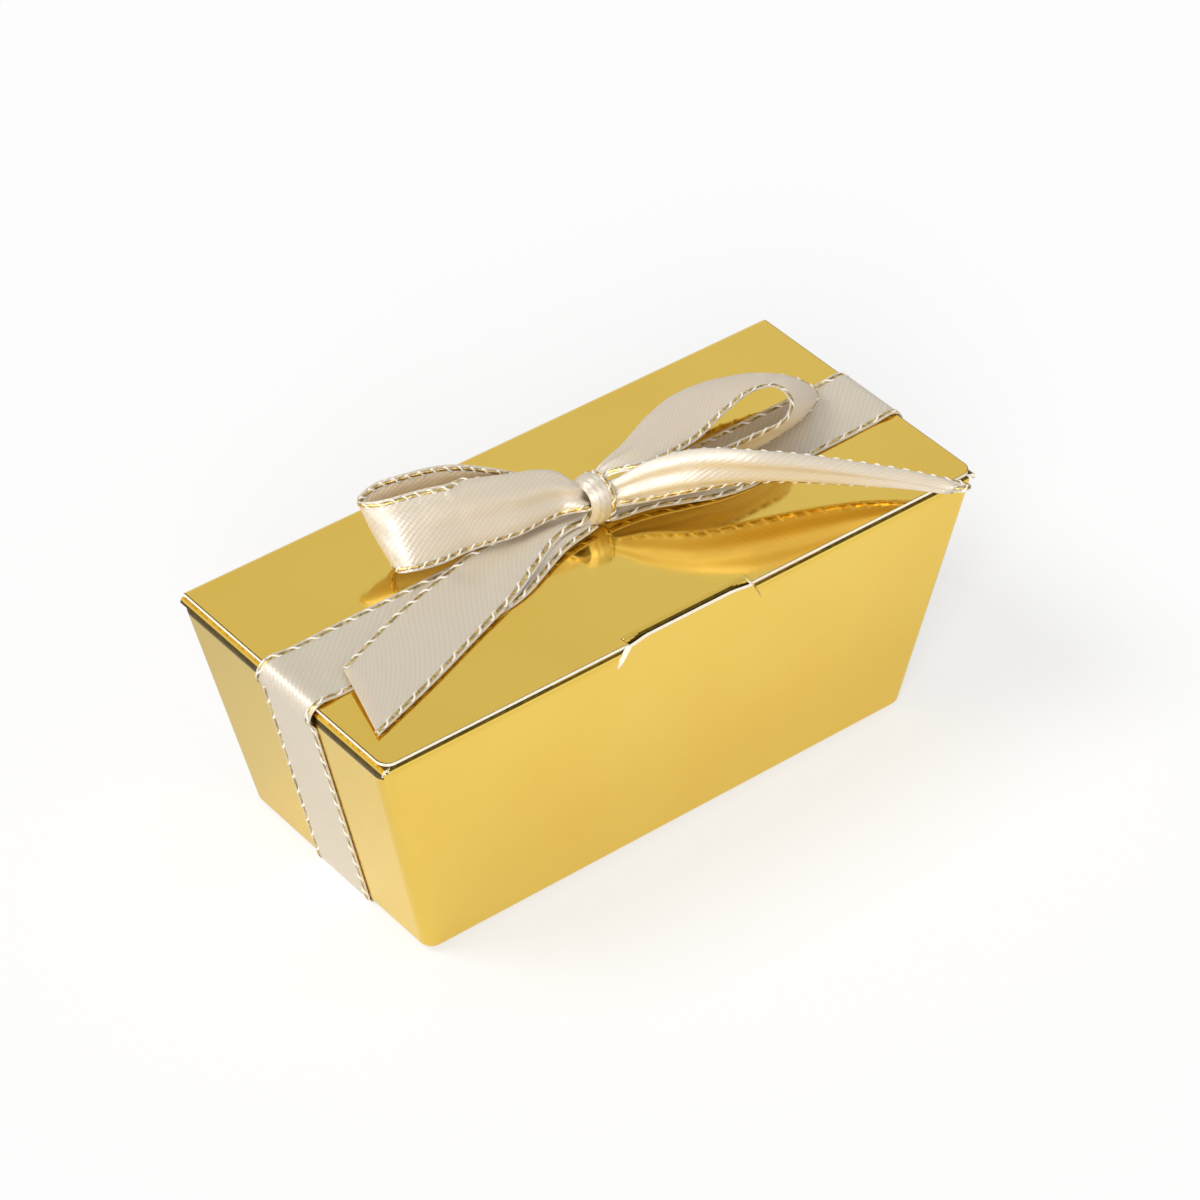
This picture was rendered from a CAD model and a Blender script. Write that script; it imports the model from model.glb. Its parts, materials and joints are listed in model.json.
"""Looks of a small gold chocolate box tied with a satin ribbon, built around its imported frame.

The box is one blank of foil board, folded and glued into a tapered tray with a hinged lid. The lid
closes with a tuck tab behind a slit lip. A ribbon runs lengthwise round the box and ends in a bow.
Sizes are in millimetres and become metres where a mesh is made. The frame is the CAD part's own:
+Z up, the front at -Y, the origin on the table under the middle of the base.
"""

from __future__ import annotations

import json
import logging
import math
from collections.abc import Callable, Sequence
from dataclasses import dataclass, field
from enum import Enum

import bpy
import numpy as np
from mathutils import Matrix, Vector

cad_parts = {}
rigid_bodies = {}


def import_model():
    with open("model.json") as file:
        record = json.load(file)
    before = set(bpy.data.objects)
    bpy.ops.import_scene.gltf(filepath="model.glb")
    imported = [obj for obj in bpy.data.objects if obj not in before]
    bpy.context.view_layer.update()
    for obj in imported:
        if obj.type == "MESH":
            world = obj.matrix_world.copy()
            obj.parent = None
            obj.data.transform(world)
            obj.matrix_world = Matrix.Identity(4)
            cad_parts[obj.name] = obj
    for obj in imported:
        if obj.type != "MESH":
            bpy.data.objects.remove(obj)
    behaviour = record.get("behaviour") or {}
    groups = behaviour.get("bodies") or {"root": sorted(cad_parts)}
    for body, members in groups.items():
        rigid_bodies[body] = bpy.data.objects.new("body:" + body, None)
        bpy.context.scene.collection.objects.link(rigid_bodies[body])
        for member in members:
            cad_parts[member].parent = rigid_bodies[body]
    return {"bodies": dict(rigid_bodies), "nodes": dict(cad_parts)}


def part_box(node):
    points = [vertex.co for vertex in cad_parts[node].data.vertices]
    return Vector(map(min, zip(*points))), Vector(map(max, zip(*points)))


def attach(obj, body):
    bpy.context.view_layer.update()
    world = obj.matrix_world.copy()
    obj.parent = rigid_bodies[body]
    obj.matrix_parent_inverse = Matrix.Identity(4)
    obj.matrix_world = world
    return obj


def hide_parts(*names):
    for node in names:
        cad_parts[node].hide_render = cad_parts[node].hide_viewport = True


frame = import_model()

PACKED = {*frame["nodes"].values(), *frame["bodies"].values()}
for leftover in [o for o in bpy.data.objects if o not in PACKED]:
    bpy.data.objects.remove(leftover)
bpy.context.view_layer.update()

LOG = logging.getLogger("chocolate_box")
MM = 0.001
Colour = tuple[float, float, float]


# Finishes


class ShaderTree:
    """The nodes of one material, round its Principled shader."""

    def __init__(self, name: str) -> None:
        """Makes the material.

        Args:
            name: Name of the material.
        """
        self.material = bpy.data.materials.new(name)
        self.material.use_nodes = True
        self.nodes = self.material.node_tree.nodes
        self.links = self.material.node_tree.links
        self.surface = self.nodes["Principled BSDF"]

    def add(self, kind: str, inputs: dict[str, object], **settings: object) -> bpy.types.Node:
        """Adds a node.

        Args:
            kind: Blender's name of the node type.
            inputs: Value, or socket to link from, for each named input.
            **settings: The node's own properties.

        Returns:
            The new node.
        """
        node = self.nodes.new(kind)
        for name, value in settings.items():
            setattr(node, name, value)
        self.feed(node, inputs)
        return node

    def feed(self, node: bpy.types.Node, inputs: dict[str, object]) -> None:
        """Sets or links inputs of a node.

        Args:
            node: The node.
            inputs: Value, or socket to link from, for each named input.
        """
        for name, value in inputs.items():
            if isinstance(value, bpy.types.NodeSocket):
                self.links.new(value, node.inputs[name])
            else:
                node.inputs[name].default_value = value

    def place(self) -> bpy.types.NodeSocket:
        """Returns the point on the piece, in metres."""
        return self.add("ShaderNodeTexCoord", {}).outputs["Object"]

    def noise(self, at: bpy.types.NodeSocket, size: float, detail: float = 2.0) -> bpy.types.NodeSocket:
        """Returns soft noise from 0 to 1, with blots of a size in millimetres and detail finer octaves."""
        inputs = {"Vector": at, "Scale": 1 / (size * MM), "Detail": detail}
        return self.add("ShaderNodeTexNoise", inputs).outputs["Fac"]

    def spread(self, value: bpy.types.NodeSocket, low: float, high: float,
               start: float = 0.3, stop: float = 0.7) -> bpy.types.NodeSocket:
        """Returns the value, mapped from start..stop to low..high."""
        inputs = {"Value": value, "From Min": start, "From Max": stop, "To Min": low, "To Max": high}
        return self.add("ShaderNodeMapRange", inputs).outputs["Result"]

    def blend(self, share: bpy.types.NodeSocket, first: Colour, second: Colour) -> bpy.types.NodeSocket:
        """Mixes two colours.

        Args:
            share: Share of the second colour.
            first: Linear colour.
            second: Linear colour.

        Returns:
            The mixed colour.
        """
        node = self.add("ShaderNodeMix", {"Factor": share}, data_type="RGBA")
        node.inputs[6].default_value = (*first, 1)
        node.inputs[7].default_value = (*second, 1)
        return node.outputs[2]

    def mottle(self, noise: bpy.types.NodeSocket, first: Colour, second: Colour) -> bpy.types.NodeSocket:
        """Returns the first colour where noise is low and the second where it is high."""
        return self.blend(self.spread(noise, 0.0, 1.0), first, second)

    def bump(self, height: bpy.types.NodeSocket, depth: float,
             under: bpy.types.NodeSocket | None = None) -> bpy.types.NodeSocket:
        """Adds relief.

        Args:
            height: Height of the relief, from 0 to 1.
            depth: Depth of the relief, in millimetres.
            under: Normal that the relief is laid on.

        Returns:
            The new normal.
        """
        inputs = {"Height": height, "Distance": depth * MM, "Strength": 1.0}
        if under is not None:
            inputs["Normal"] = under
        return self.add("ShaderNodeBump", inputs).outputs["Normal"]


@dataclass(frozen=True)
class FoilFinish:
    """Polished gold foil laminated on board: a clear coat over metal, a little wavy."""

    gold: Colour = (0.85, 0.585, 0.08)
    deep_gold: Colour = (0.83, 0.545, 0.06)
    edge_tint: Colour = (1.0, 0.92, 0.5)
    smooth: float = 0.075
    hazy: float = 0.13
    wave_size: float = 15.0
    wave_depth: float = 0.035
    peel_size: float = 1.1
    peel_depth: float = 0.0012
    grain_size: float = 0.16
    grain_depth: float = 0.00025
    tone_size: float = 22.0
    haze_size: float = 6.0

    def make(self) -> bpy.types.Material:
        """Returns the material."""
        tree = ShaderTree("gold_foil")
        at = tree.place()
        normal = tree.bump(tree.noise(at, self.wave_size, 0.0), self.wave_depth)
        normal = tree.bump(tree.noise(at, self.peel_size, 1.0), self.peel_depth, normal)
        normal = tree.bump(tree.noise(at, self.grain_size, 2.0), self.grain_depth, normal)
        tree.feed(tree.surface, {
            "Base Color": tree.mottle(tree.noise(at, self.tone_size), self.gold, self.deep_gold),
            "Roughness": tree.spread(tree.noise(at, self.haze_size, 4.0), self.smooth, self.hazy),
            "Metallic": 1.0,
            "Specular Tint": (*self.edge_tint, 1),
            "Coat Weight": 0.9,
            "Coat Roughness": 0.04,
            "Coat IOR": 1.5,
            "Normal": normal,
            "Coat Normal": normal,
        })
        return tree.material


@dataclass(frozen=True)
class BoardFinish:
    """Bare white board, inside the box and at its cut edges."""

    white: Colour = (0.93, 0.87, 0.74)
    grey: Colour = (0.85, 0.77, 0.61)
    fibre_size: float = 0.35
    fibre_depth: float = 0.02

    def make(self) -> bpy.types.Material:
        """Returns the material."""
        tree = ShaderTree("bare_board")
        at = tree.place()
        fibres = tree.noise(at, self.fibre_size, 5.0)
        tree.feed(tree.surface, {
            "Base Color": tree.mottle(fibres, self.white, self.grey),
            "Roughness": 0.85,
            "Normal": tree.bump(fibres, self.fibre_depth),
        })
        return tree.material


@dataclass(frozen=True)
class CreasedFoilFinish:
    """The same foil where it is pressed into a crease or a cut: stretched, dull and dark."""

    name: str = "creased_foil"
    dark: Colour = (0.085, 0.055, 0.008)
    pale: Colour = (0.18, 0.115, 0.018)
    smooth: float = 0.2
    dull: float = 0.34
    crack_size: float = 0.7
    crack_depth: float = 0.006

    def make(self) -> bpy.types.Material:
        """Returns the material."""
        tree = ShaderTree(self.name)
        cracks = tree.noise(tree.place(), self.crack_size, 3.0)
        tree.feed(tree.surface, {
            "Base Color": tree.mottle(cracks, self.dark, self.pale),
            "Metallic": 1.0,
            "Roughness": tree.spread(cracks, self.smooth, self.dull),
            "Normal": tree.bump(cracks, self.crack_depth),
        })
        return tree.material


@dataclass(frozen=True)
class SatinFinish:
    """Ivory satin with a fine slanting twill. Its thread map is in millimetres along and across."""

    light: Colour = (0.72, 0.60, 0.455)
    shade: Colour = (0.63, 0.52, 0.385)
    twill_step: float = 0.56
    twill_angle: float = math.radians(-52)
    twill_depth: float = 0.015
    dot_step: float = 0.46
    dot_angle: float = math.radians(35)
    dot_depth: float = 0.005
    slub_size: float = 1.6
    slub_depth: float = 0.02
    smooth: float = 0.42
    dull: float = 0.5
    dull_size: float = 2.5
    lustre: float = 0.12
    see_through: float = 0.5
    thread_map: str = "thread"
    waves_per_unit: float = 3.2

    def lines(self, tree: ShaderTree, thread: bpy.types.NodeSocket, step: float,
              angle: float) -> bpy.types.NodeSocket:
        """Draws parallel lines of the weave, with a texture that has waves_per_unit waves at scale 1.

        Args:
            tree: The material's nodes.
            thread: The thread map.
            step: Distance from line to line, in millimetres.
            angle: Turn of the lines.

        Returns:
            The lines, from 0 to 1.
        """
        turned = tree.add("ShaderNodeMapping", {"Vector": thread, "Rotation": (0, 0, angle)})
        return tree.add("ShaderNodeTexWave", {
            "Vector": turned.outputs["Vector"],
            "Scale": 1 / (self.waves_per_unit * step),
            "Distortion": 0.8,
            "Detail": 2.0,
            "Detail Scale": 1.5,
        }).outputs["Fac"]

    def make(self) -> bpy.types.Material:
        """Returns the material."""
        tree = ShaderTree("ivory_satin")
        at = tree.place()
        thread = tree.add("ShaderNodeUVMap", {}, uv_map=self.thread_map).outputs["UV"]
        twill = self.lines(tree, thread, self.twill_step, self.twill_angle)
        dots = self.lines(tree, thread, self.dot_step, self.dot_angle)
        tangent = tree.add("ShaderNodeTangent", {}, direction_type="UV_MAP", uv_map=self.thread_map)
        normal = tree.bump(twill, self.twill_depth)
        normal = tree.bump(dots, self.dot_depth, normal)
        normal = tree.bump(tree.noise(at, self.slub_size, 3.0), self.slub_depth, normal)
        tree.feed(tree.surface, {
            "Base Color": tree.blend(tree.spread(twill, 0.0, 0.6, 0.0, 1.0), self.light, self.shade),
            "Roughness": tree.spread(tree.noise(at, self.dull_size, 3.0), self.smooth, self.dull),
            "Metallic": self.lustre,
            "Specular IOR Level": 1.0,
            "IOR": 2.1,
            "Anisotropic": 0.85,
            "Anisotropic Rotation": 0.25,
            "Tangent": tangent.outputs["Tangent"],
            "Subsurface Weight": 0.9,
            "Subsurface Radius": (1.0, 0.85, 0.6),
            "Subsurface Scale": self.see_through * MM,
            "Normal": normal,
        })
        return tree.material


@dataclass(frozen=True)
class GoldThreadFinish:
    """Flat metallic yarn of the edges, a little lighter or darker from place to place."""

    bright: Colour = (0.82, 0.62, 0.25)
    dull: Colour = (0.34, 0.235, 0.075)
    tone_size: float = 0.55
    strand_size: float = 0.12
    strand_depth: float = 0.02

    def make(self) -> bpy.types.Material:
        """Returns the material."""
        tree = ShaderTree("gold_thread")
        at = tree.place()
        strands = tree.noise(at, self.strand_size, 2.0)
        tone = tree.spread(tree.noise(at, self.tone_size, 1.0), 0.0, 1.0, 0.35, 0.65)
        tree.feed(tree.surface, {
            "Base Color": tree.blend(tone, self.bright, self.dull),
            "Metallic": 1.0,
            "Roughness": tree.spread(strands, 0.22, 0.45),
            "Normal": tree.bump(strands, self.strand_depth),
        })
        return tree.material


@dataclass(frozen=True)
class CordFinish:
    """White yarn that is twisted with the gold one along the ribbon's edges."""

    white: Colour = (0.92, 0.87, 0.79)
    shade: Colour = (0.80, 0.73, 0.62)
    strand_size: float = 0.16
    strand_depth: float = 0.04

    def make(self) -> bpy.types.Material:
        """Returns the material."""
        tree = ShaderTree("white_cord")
        strands = tree.noise(tree.place(), self.strand_size, 2.0)
        tree.feed(tree.surface, {
            "Base Color": tree.mottle(strands, self.white, self.shade),
            "Roughness": 0.5,
            "Sheen Weight": 0.2,
            "Normal": tree.bump(strands, self.strand_depth),
        })
        return tree.material


@dataclass(frozen=True)
class PaperFinish:
    """Thin brown pleating paper."""

    brown: Colour = (0.085, 0.042, 0.022)
    pale_brown: Colour = (0.13, 0.07, 0.038)
    fibre_size: float = 0.5
    fibre_depth: float = 0.03

    def make(self) -> bpy.types.Material:
        """Returns the material."""
        tree = ShaderTree("cup_paper")
        fibres = tree.noise(tree.place(), self.fibre_size, 4.0)
        tree.feed(tree.surface, {
            "Base Color": tree.mottle(fibres, self.brown, self.pale_brown),
            "Roughness": 0.62,
            "Normal": tree.bump(fibres, self.fibre_depth),
        })
        return tree.material


@dataclass(frozen=True)
class ChocolateFinish:
    """Tempered chocolate with a soft sheen."""

    name: str
    dark: Colour
    light: Colour
    tone_size: float = 5.0
    sheen_size: float = 1.2
    wave_size: float = 3.0
    wave_depth: float = 0.12

    def make(self) -> bpy.types.Material:
        """Returns the material."""
        tree = ShaderTree(self.name)
        at = tree.place()
        tree.feed(tree.surface, {
            "Base Color": tree.mottle(tree.noise(at, self.tone_size, 3.0), self.dark, self.light),
            "Roughness": tree.spread(tree.noise(at, self.sheen_size, 3.0), 0.26, 0.42),
            "Normal": tree.bump(tree.noise(at, self.wave_size, 2.0), self.wave_depth),
        })
        return tree.material


# Sheets: foil board and ribbon are both thin sheets, drawn as a grid of points with a thickness.

CUT_DROP = 0.05  # how far a cut edge is pressed down
CUT_TILT = 0.9  # how far its normal leans outwards, as the tangent of the angle
CUT_LINE = 0.13  # width of the pressed strip along it


class Draft:
    """Collects the faces of one piece before they become a mesh."""

    def __init__(self, name: str, finishes: Sequence[bpy.types.Material]) -> None:
        """Starts an empty draft.

        Args:
            name: Name of the piece.
            finishes: Materials that faces choose from by number.
        """
        self.name = name
        self.finishes = list(finishes)
        self.points: list[np.ndarray] = []
        self.faces: list[list[int]] = []
        self.slots: list[int] = []
        self.normals: list[tuple[float, float, float]] = []
        self.thread: list[tuple[float, float]] = []
        self.count = 0

    def add(self, points: np.ndarray, faces: Sequence[Sequence[int]], slots: int | Sequence[int],
            normals: np.ndarray | None = None, thread: np.ndarray | None = None) -> None:
        """Adds faces.

        Args:
            points: Points in millimetres.
            faces: Corners of each face, as places in points.
            slots: Number of the finish, for all the faces or for each.
            normals: Normal at each face corner, or None to let the mesh work it out.
            thread: Thread map at each point, in millimetres, or None.
        """
        points = np.asarray(points, float).reshape(-1, 3)
        corners = np.asarray([corner for face in faces for corner in face], int)
        own = np.zeros((len(corners), 3)) if normals is None else np.asarray(normals, float).reshape(-1, 3)
        woven = np.zeros((len(corners), 2)) if thread is None else np.asarray(thread, float)[corners]
        self.points.append(points)
        self.faces += [[int(corner) + self.count for corner in face] for face in faces]
        self.slots += [slots] * len(faces) if isinstance(slots, int) else list(slots)
        self.normals += own.tolist()
        self.thread += woven.tolist()
        self.count += len(points)

    def make(self) -> bpy.types.Object:
        """Makes the object, in metres, at the origin of the frame.

        Returns:
            The new object.
        """
        mesh = bpy.data.meshes.new(self.name)
        mesh.from_pydata((np.vstack(self.points) * MM).tolist(), [], self.faces)
        mesh.polygons.foreach_set("use_smooth", [True] * len(self.faces))
        mesh.polygons.foreach_set("material_index", self.slots)
        for finish in self.finishes:
            mesh.materials.append(finish)
        layer = mesh.uv_layers.new(name=SatinFinish.thread_map)
        layer.data.foreach_set("uv", [value for pair in self.thread for value in pair])
        mesh.normals_split_custom_set(self.normals)
        mesh.update()
        made = bpy.data.objects.new(self.name, mesh)
        bpy.context.scene.collection.objects.link(made)
        return made


def unit(vectors: np.ndarray) -> np.ndarray:
    """Returns the vectors at length 1."""
    return vectors / np.maximum(np.linalg.norm(vectors, axis=-1, keepdims=True), 1e-12)


def gentle(share: np.ndarray | float) -> np.ndarray:
    """Returns a share clipped to 0..1 that starts and ends gently."""
    t = np.clip(share, 0.0, 1.0)
    return t * t * (3 - 2 * t)


def grid_normals(points: np.ndarray) -> np.ndarray:
    """Works out the normals of a grid of points.

    Args:
        points: Rows by columns by 3.

    Returns:
        Unit normals of the same shape: the way along the columns crossed with the way along the rows.
    """
    down = np.gradient(points, axis=0)
    across = np.gradient(points, axis=1)
    return unit(np.cross(across, down))


def quad_normals(points: np.ndarray, quads: np.ndarray) -> np.ndarray:
    """Returns the normal of each quad, longer where the quad is larger."""
    start = points[quads[:, 0]]
    return np.cross(points[quads[:, 1]] - start, points[quads[:, 3]] - start)


def tube_faces(rings: int, sides: int) -> list[list[int]]:
    """Lists the faces of a closed tube.

    Args:
        rings: Number of rings.
        sides: Number of points on each ring.

    Returns:
        The faces between the rings, then a flat face at each end.
    """
    faces = []
    for r in range(rings - 1):
        for k in range(sides):
            j = (k + 1) % sides
            faces.append([r * sides + k, r * sides + j, (r + 1) * sides + j, (r + 1) * sides + k])
    faces.append(list(range(sides))[::-1])
    faces.append([(rings - 1) * sides + k for k in range(sides)])
    return faces


def dress(made: bpy.types.Object, node: str, body: str) -> None:
    """Tells the frame what a piece is.

    Args:
        made: The piece.
        node: CAD node that it stands for.
        body: Body that it rides on.
    """
    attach(made, body)
    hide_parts(node)


def on_crease(row: int, column: int, edge: int) -> bool:
    """Says whether the border of a flap's cell is the crease that the flap folds from."""
    return row == 0 and edge == 0


class FoilState(Enum):
    """State of the foil in a cell: flat, pressed into a crease, or stretched over a bead."""

    PLAIN = 0
    CREASED = 1
    STRETCHED = 2


@dataclass
class SheetGrid:
    """A sheet as a grid of points on one face, with its thickness and the cells that are cut away.

    The thickness is laid off along the normals, or along through where the normals lean over an edge.
    """

    points: np.ndarray
    normals: np.ndarray
    above: float
    below: float
    keep: np.ndarray | None = None
    thread: np.ndarray | None = None
    through: np.ndarray | None = None
    states: np.ndarray | None = None

    def corners(self, row: int, column: int) -> list[tuple[int, int]]:
        """Returns the four corners of a cell, in order."""
        return [(row, column), (row, column + 1), (row + 1, column + 1), (row + 1, column)]

    def borders(self) -> list[tuple[int, int, int]]:
        """Lists the borders of the kept cells.

        Returns:
            Row and column of the cell, and which of its four edges has no neighbour.
        """
        rows, columns = self.points.shape[0] - 1, self.points.shape[1] - 1
        keep = np.zeros((rows + 2, columns + 2), bool)
        keep[1:-1, 1:-1] = True if self.keep is None else self.keep
        found = []
        for edge, (dr, dc) in enumerate(((-1, 0), (0, 1), (1, 0), (0, -1))):
            open_side = keep[1:-1, 1:-1] & ~keep[1 + dr:rows + 1 + dr, 1 + dc:columns + 1 + dc]
            found += [(int(r), int(c), edge) for r, c in np.argwhere(open_side)]
        return found

    def roll_cut_edges(self, whole: Callable[[int, int, int], bool]) -> None:
        """Presses the face down a little along its cut edges, as a die does.

        Args:
            whole: Says of a cell and edge that it isn't a cut, such as a fold.
        """
        self.through = self.normals.copy()
        out = np.zeros_like(self.points)
        for row, column, edge in self.borders():
            if whole(row, column, edge):
                continue
            corners = self.corners(row, column)
            a, b = corners[edge], corners[(edge + 1) % 4]
            c, d = corners[(edge + 2) % 4], corners[(edge + 3) % 4]
            way = self.points[a] + self.points[b] - self.points[c] - self.points[d]
            for corner in (a, b):
                out[corner] += way / max(np.linalg.norm(way), 1e-9)
        cut = np.linalg.norm(out, axis=2) > 1e-6
        out = unit(out)
        self.points[cut] -= self.normals[cut] * CUT_DROP
        self.normals[cut] = unit(self.normals[cut] + out[cut] * CUT_TILT)

    def draw(self, draft: Draft, face: Sequence[int], back: int) -> None:
        """Adds the sheet's two faces and its rim to a draft.

        Args:
            draft: The draft.
            face: Finish of the face's cells, by their state.
            back: Finish of the other face and of the rim.
        """
        columns = self.points.shape[1]
        keep = np.ones(np.array(self.points.shape[:2]) - 1, bool) if self.keep is None else self.keep
        cell = np.array([r * columns + c for r, c in self.corners(0, 0)])
        quads = np.array([r * columns + c for r, c in np.argwhere(keep)])[:, None] + cell[None, :]
        used, quads = np.unique(quads, return_inverse=True)
        quads = quads.reshape(-1, 4)
        place = {int(old): new for new, old in enumerate(used)}
        total = len(used)
        normals = self.normals.reshape(-1, 3)[used]
        middle = self.points.reshape(-1, 3)[used]
        through = normals if self.through is None else self.through.reshape(-1, 3)[used]
        points = np.vstack([middle + through * self.above, middle - through * self.below])
        turned = float(np.einsum("ij,ij->", quad_normals(points, quads), normals[quads[:, 0]])) < 0
        top = quads[:, ::-1] if turned else quads
        under = top[:, ::-1]
        sides = []
        for row, column, edge in self.borders():
            corners = [place[r * columns + c] for r, c in self.corners(row, column)]
            a, b = corners[edge], corners[(edge + 1) % 4]
            a, b = (b, a) if turned else (a, b)
            sides.append([a, a + total, b + total, b])
        sides = np.array(sides)
        rim_normals = np.repeat(unit(quad_normals(points, sides)), 4, axis=0)
        faced = normals[top].reshape(-1, 3), -normals[under].reshape(-1, 3)
        corner_normals = np.vstack([*faced, rim_normals])
        thread = None
        if self.thread is not None:
            own = self.thread.reshape(-1, 2)[used]
            thread = np.vstack([own, own * (1, -1)])
        states = np.zeros(len(top), int) if self.states is None else self.states[keep]
        slots = [face[state] for state in states] + [back] * (len(under) + len(sides))
        faces = [*top.tolist(), *(under + total).tolist(), *sides.tolist()]
        draft.add(points, faces, slots, corner_normals, thread)


# The folded blank


@dataclass
class BlankSizes:
    """Sizes of the folded blank, in millimetres, from the frame where the frame gives them."""

    board: float = 0.4
    base_fold: float = 0.8
    corner_fold: float = 1.6
    glue_line: float = 0.05
    web_width: float = 11.0
    web_taper: float = 2.5
    web_drop: float = 1.2
    layer_gap: float = 0.08
    crease_gap: float = 0.05
    fold_rise: float = 0.12
    flap_depth: float = 15.0
    dust_taper: float = 0.46
    front_taper: float = 0.3
    flap_corner: float = 0.12
    bead_end: float = 0.85
    bead_run: float = 2.6
    lid_fold: float = 0.7
    lid_end_inset: float = 0.4
    lid_front_inset: float = 0.12
    lid_corner: float = 1.5
    tab_width: float = 16.4
    tab_depth: float = 6.5
    tab_fold: float = 0.6
    tab_corner: float = 2.5
    tab_corner_run: float = 0.8
    tab_clearance: float = 0.22
    tab_lean: float = 0.035
    tab_gap: float = 0.06
    tab_shoulder: float = 2.2
    slot_play: float = 0.6
    lip_height: float = 1.3
    lip_half: float = 8.7
    lip_gap: float = 0.18
    slit_depth: float = 1.4
    slit_spread: float = 0.56
    slit_width: float = 0.16
    floor: float = field(init=False)
    rim: float = field(init=False)
    lid: float = field(init=False)
    top_length: float = field(init=False)
    top_width: float = field(init=False)
    base_length: float = field(init=False)
    base_width: float = field(init=False)

    def __post_init__(self) -> None:
        """Reads the main sizes from the frame."""
        base_low, base_high = (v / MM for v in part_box("base_panel"))
        end_low, end_high = (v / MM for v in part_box("left_end_panel"))
        right_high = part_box("right_end_panel")[1] / MM
        back_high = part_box("back_panel")[1] / MM
        self.floor = base_low.z
        self.rim = end_high.z
        self.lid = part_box("lid_panel")[1].z / MM
        self.top_length = right_high.x - end_low.x
        self.top_width = 2 * back_high.y
        self.base_length = base_high.x - base_low.x + 2 * self.base_fold
        self.base_width = base_high.y - base_low.y + 2 * self.base_fold

    @property
    def wall(self) -> float:
        """Height of the walls."""
        return self.rim - self.floor

    @property
    def end_slope(self) -> float:
        """Outward run of the end walls per millimetre of height."""
        return (self.top_length - self.base_length) / 2 / self.wall

    @property
    def side_slope(self) -> float:
        """Outward run of the front and back walls per millimetre of height."""
        return (self.top_width - self.base_width) / 2 / self.wall

    @property
    def dust_top(self) -> float:
        """Height of a dust flap's top face above the rim creases."""
        return self.layer_gap + self.board

    @property
    def front_top(self) -> float:
        """Height of the front flap's top face above the rim creases."""
        return self.dust_top + self.layer_gap + self.board

    @property
    def lid_top(self) -> float:
        """Height of the lid's top face above the rim creases."""
        return self.lid - self.rim

    @property
    def tab_setback(self) -> float:
        """How far the lid's edge at the tab lies behind the front wall's outer face."""
        return self.board + self.tab_clearance + self.tab_fold + self.fold_rise

    @property
    def notch_half(self) -> float:
        """Half width of the lid's notch for the tab."""
        return self.lip_edge(self.wall + self.lip_height) + self.crease_gap

    def lip_edge(self, height: float) -> float:
        """Returns the half length of the lip at a height above the underside of the base."""
        return self.lip_half + (self.wall + self.lip_height - height) * self.slit_spread


class Wall(Enum):
    """The four walls, each with the turn of its outer face round the box."""

    FRONT = -90
    RIGHT = 0
    BACK = 90
    LEFT = 180


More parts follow.
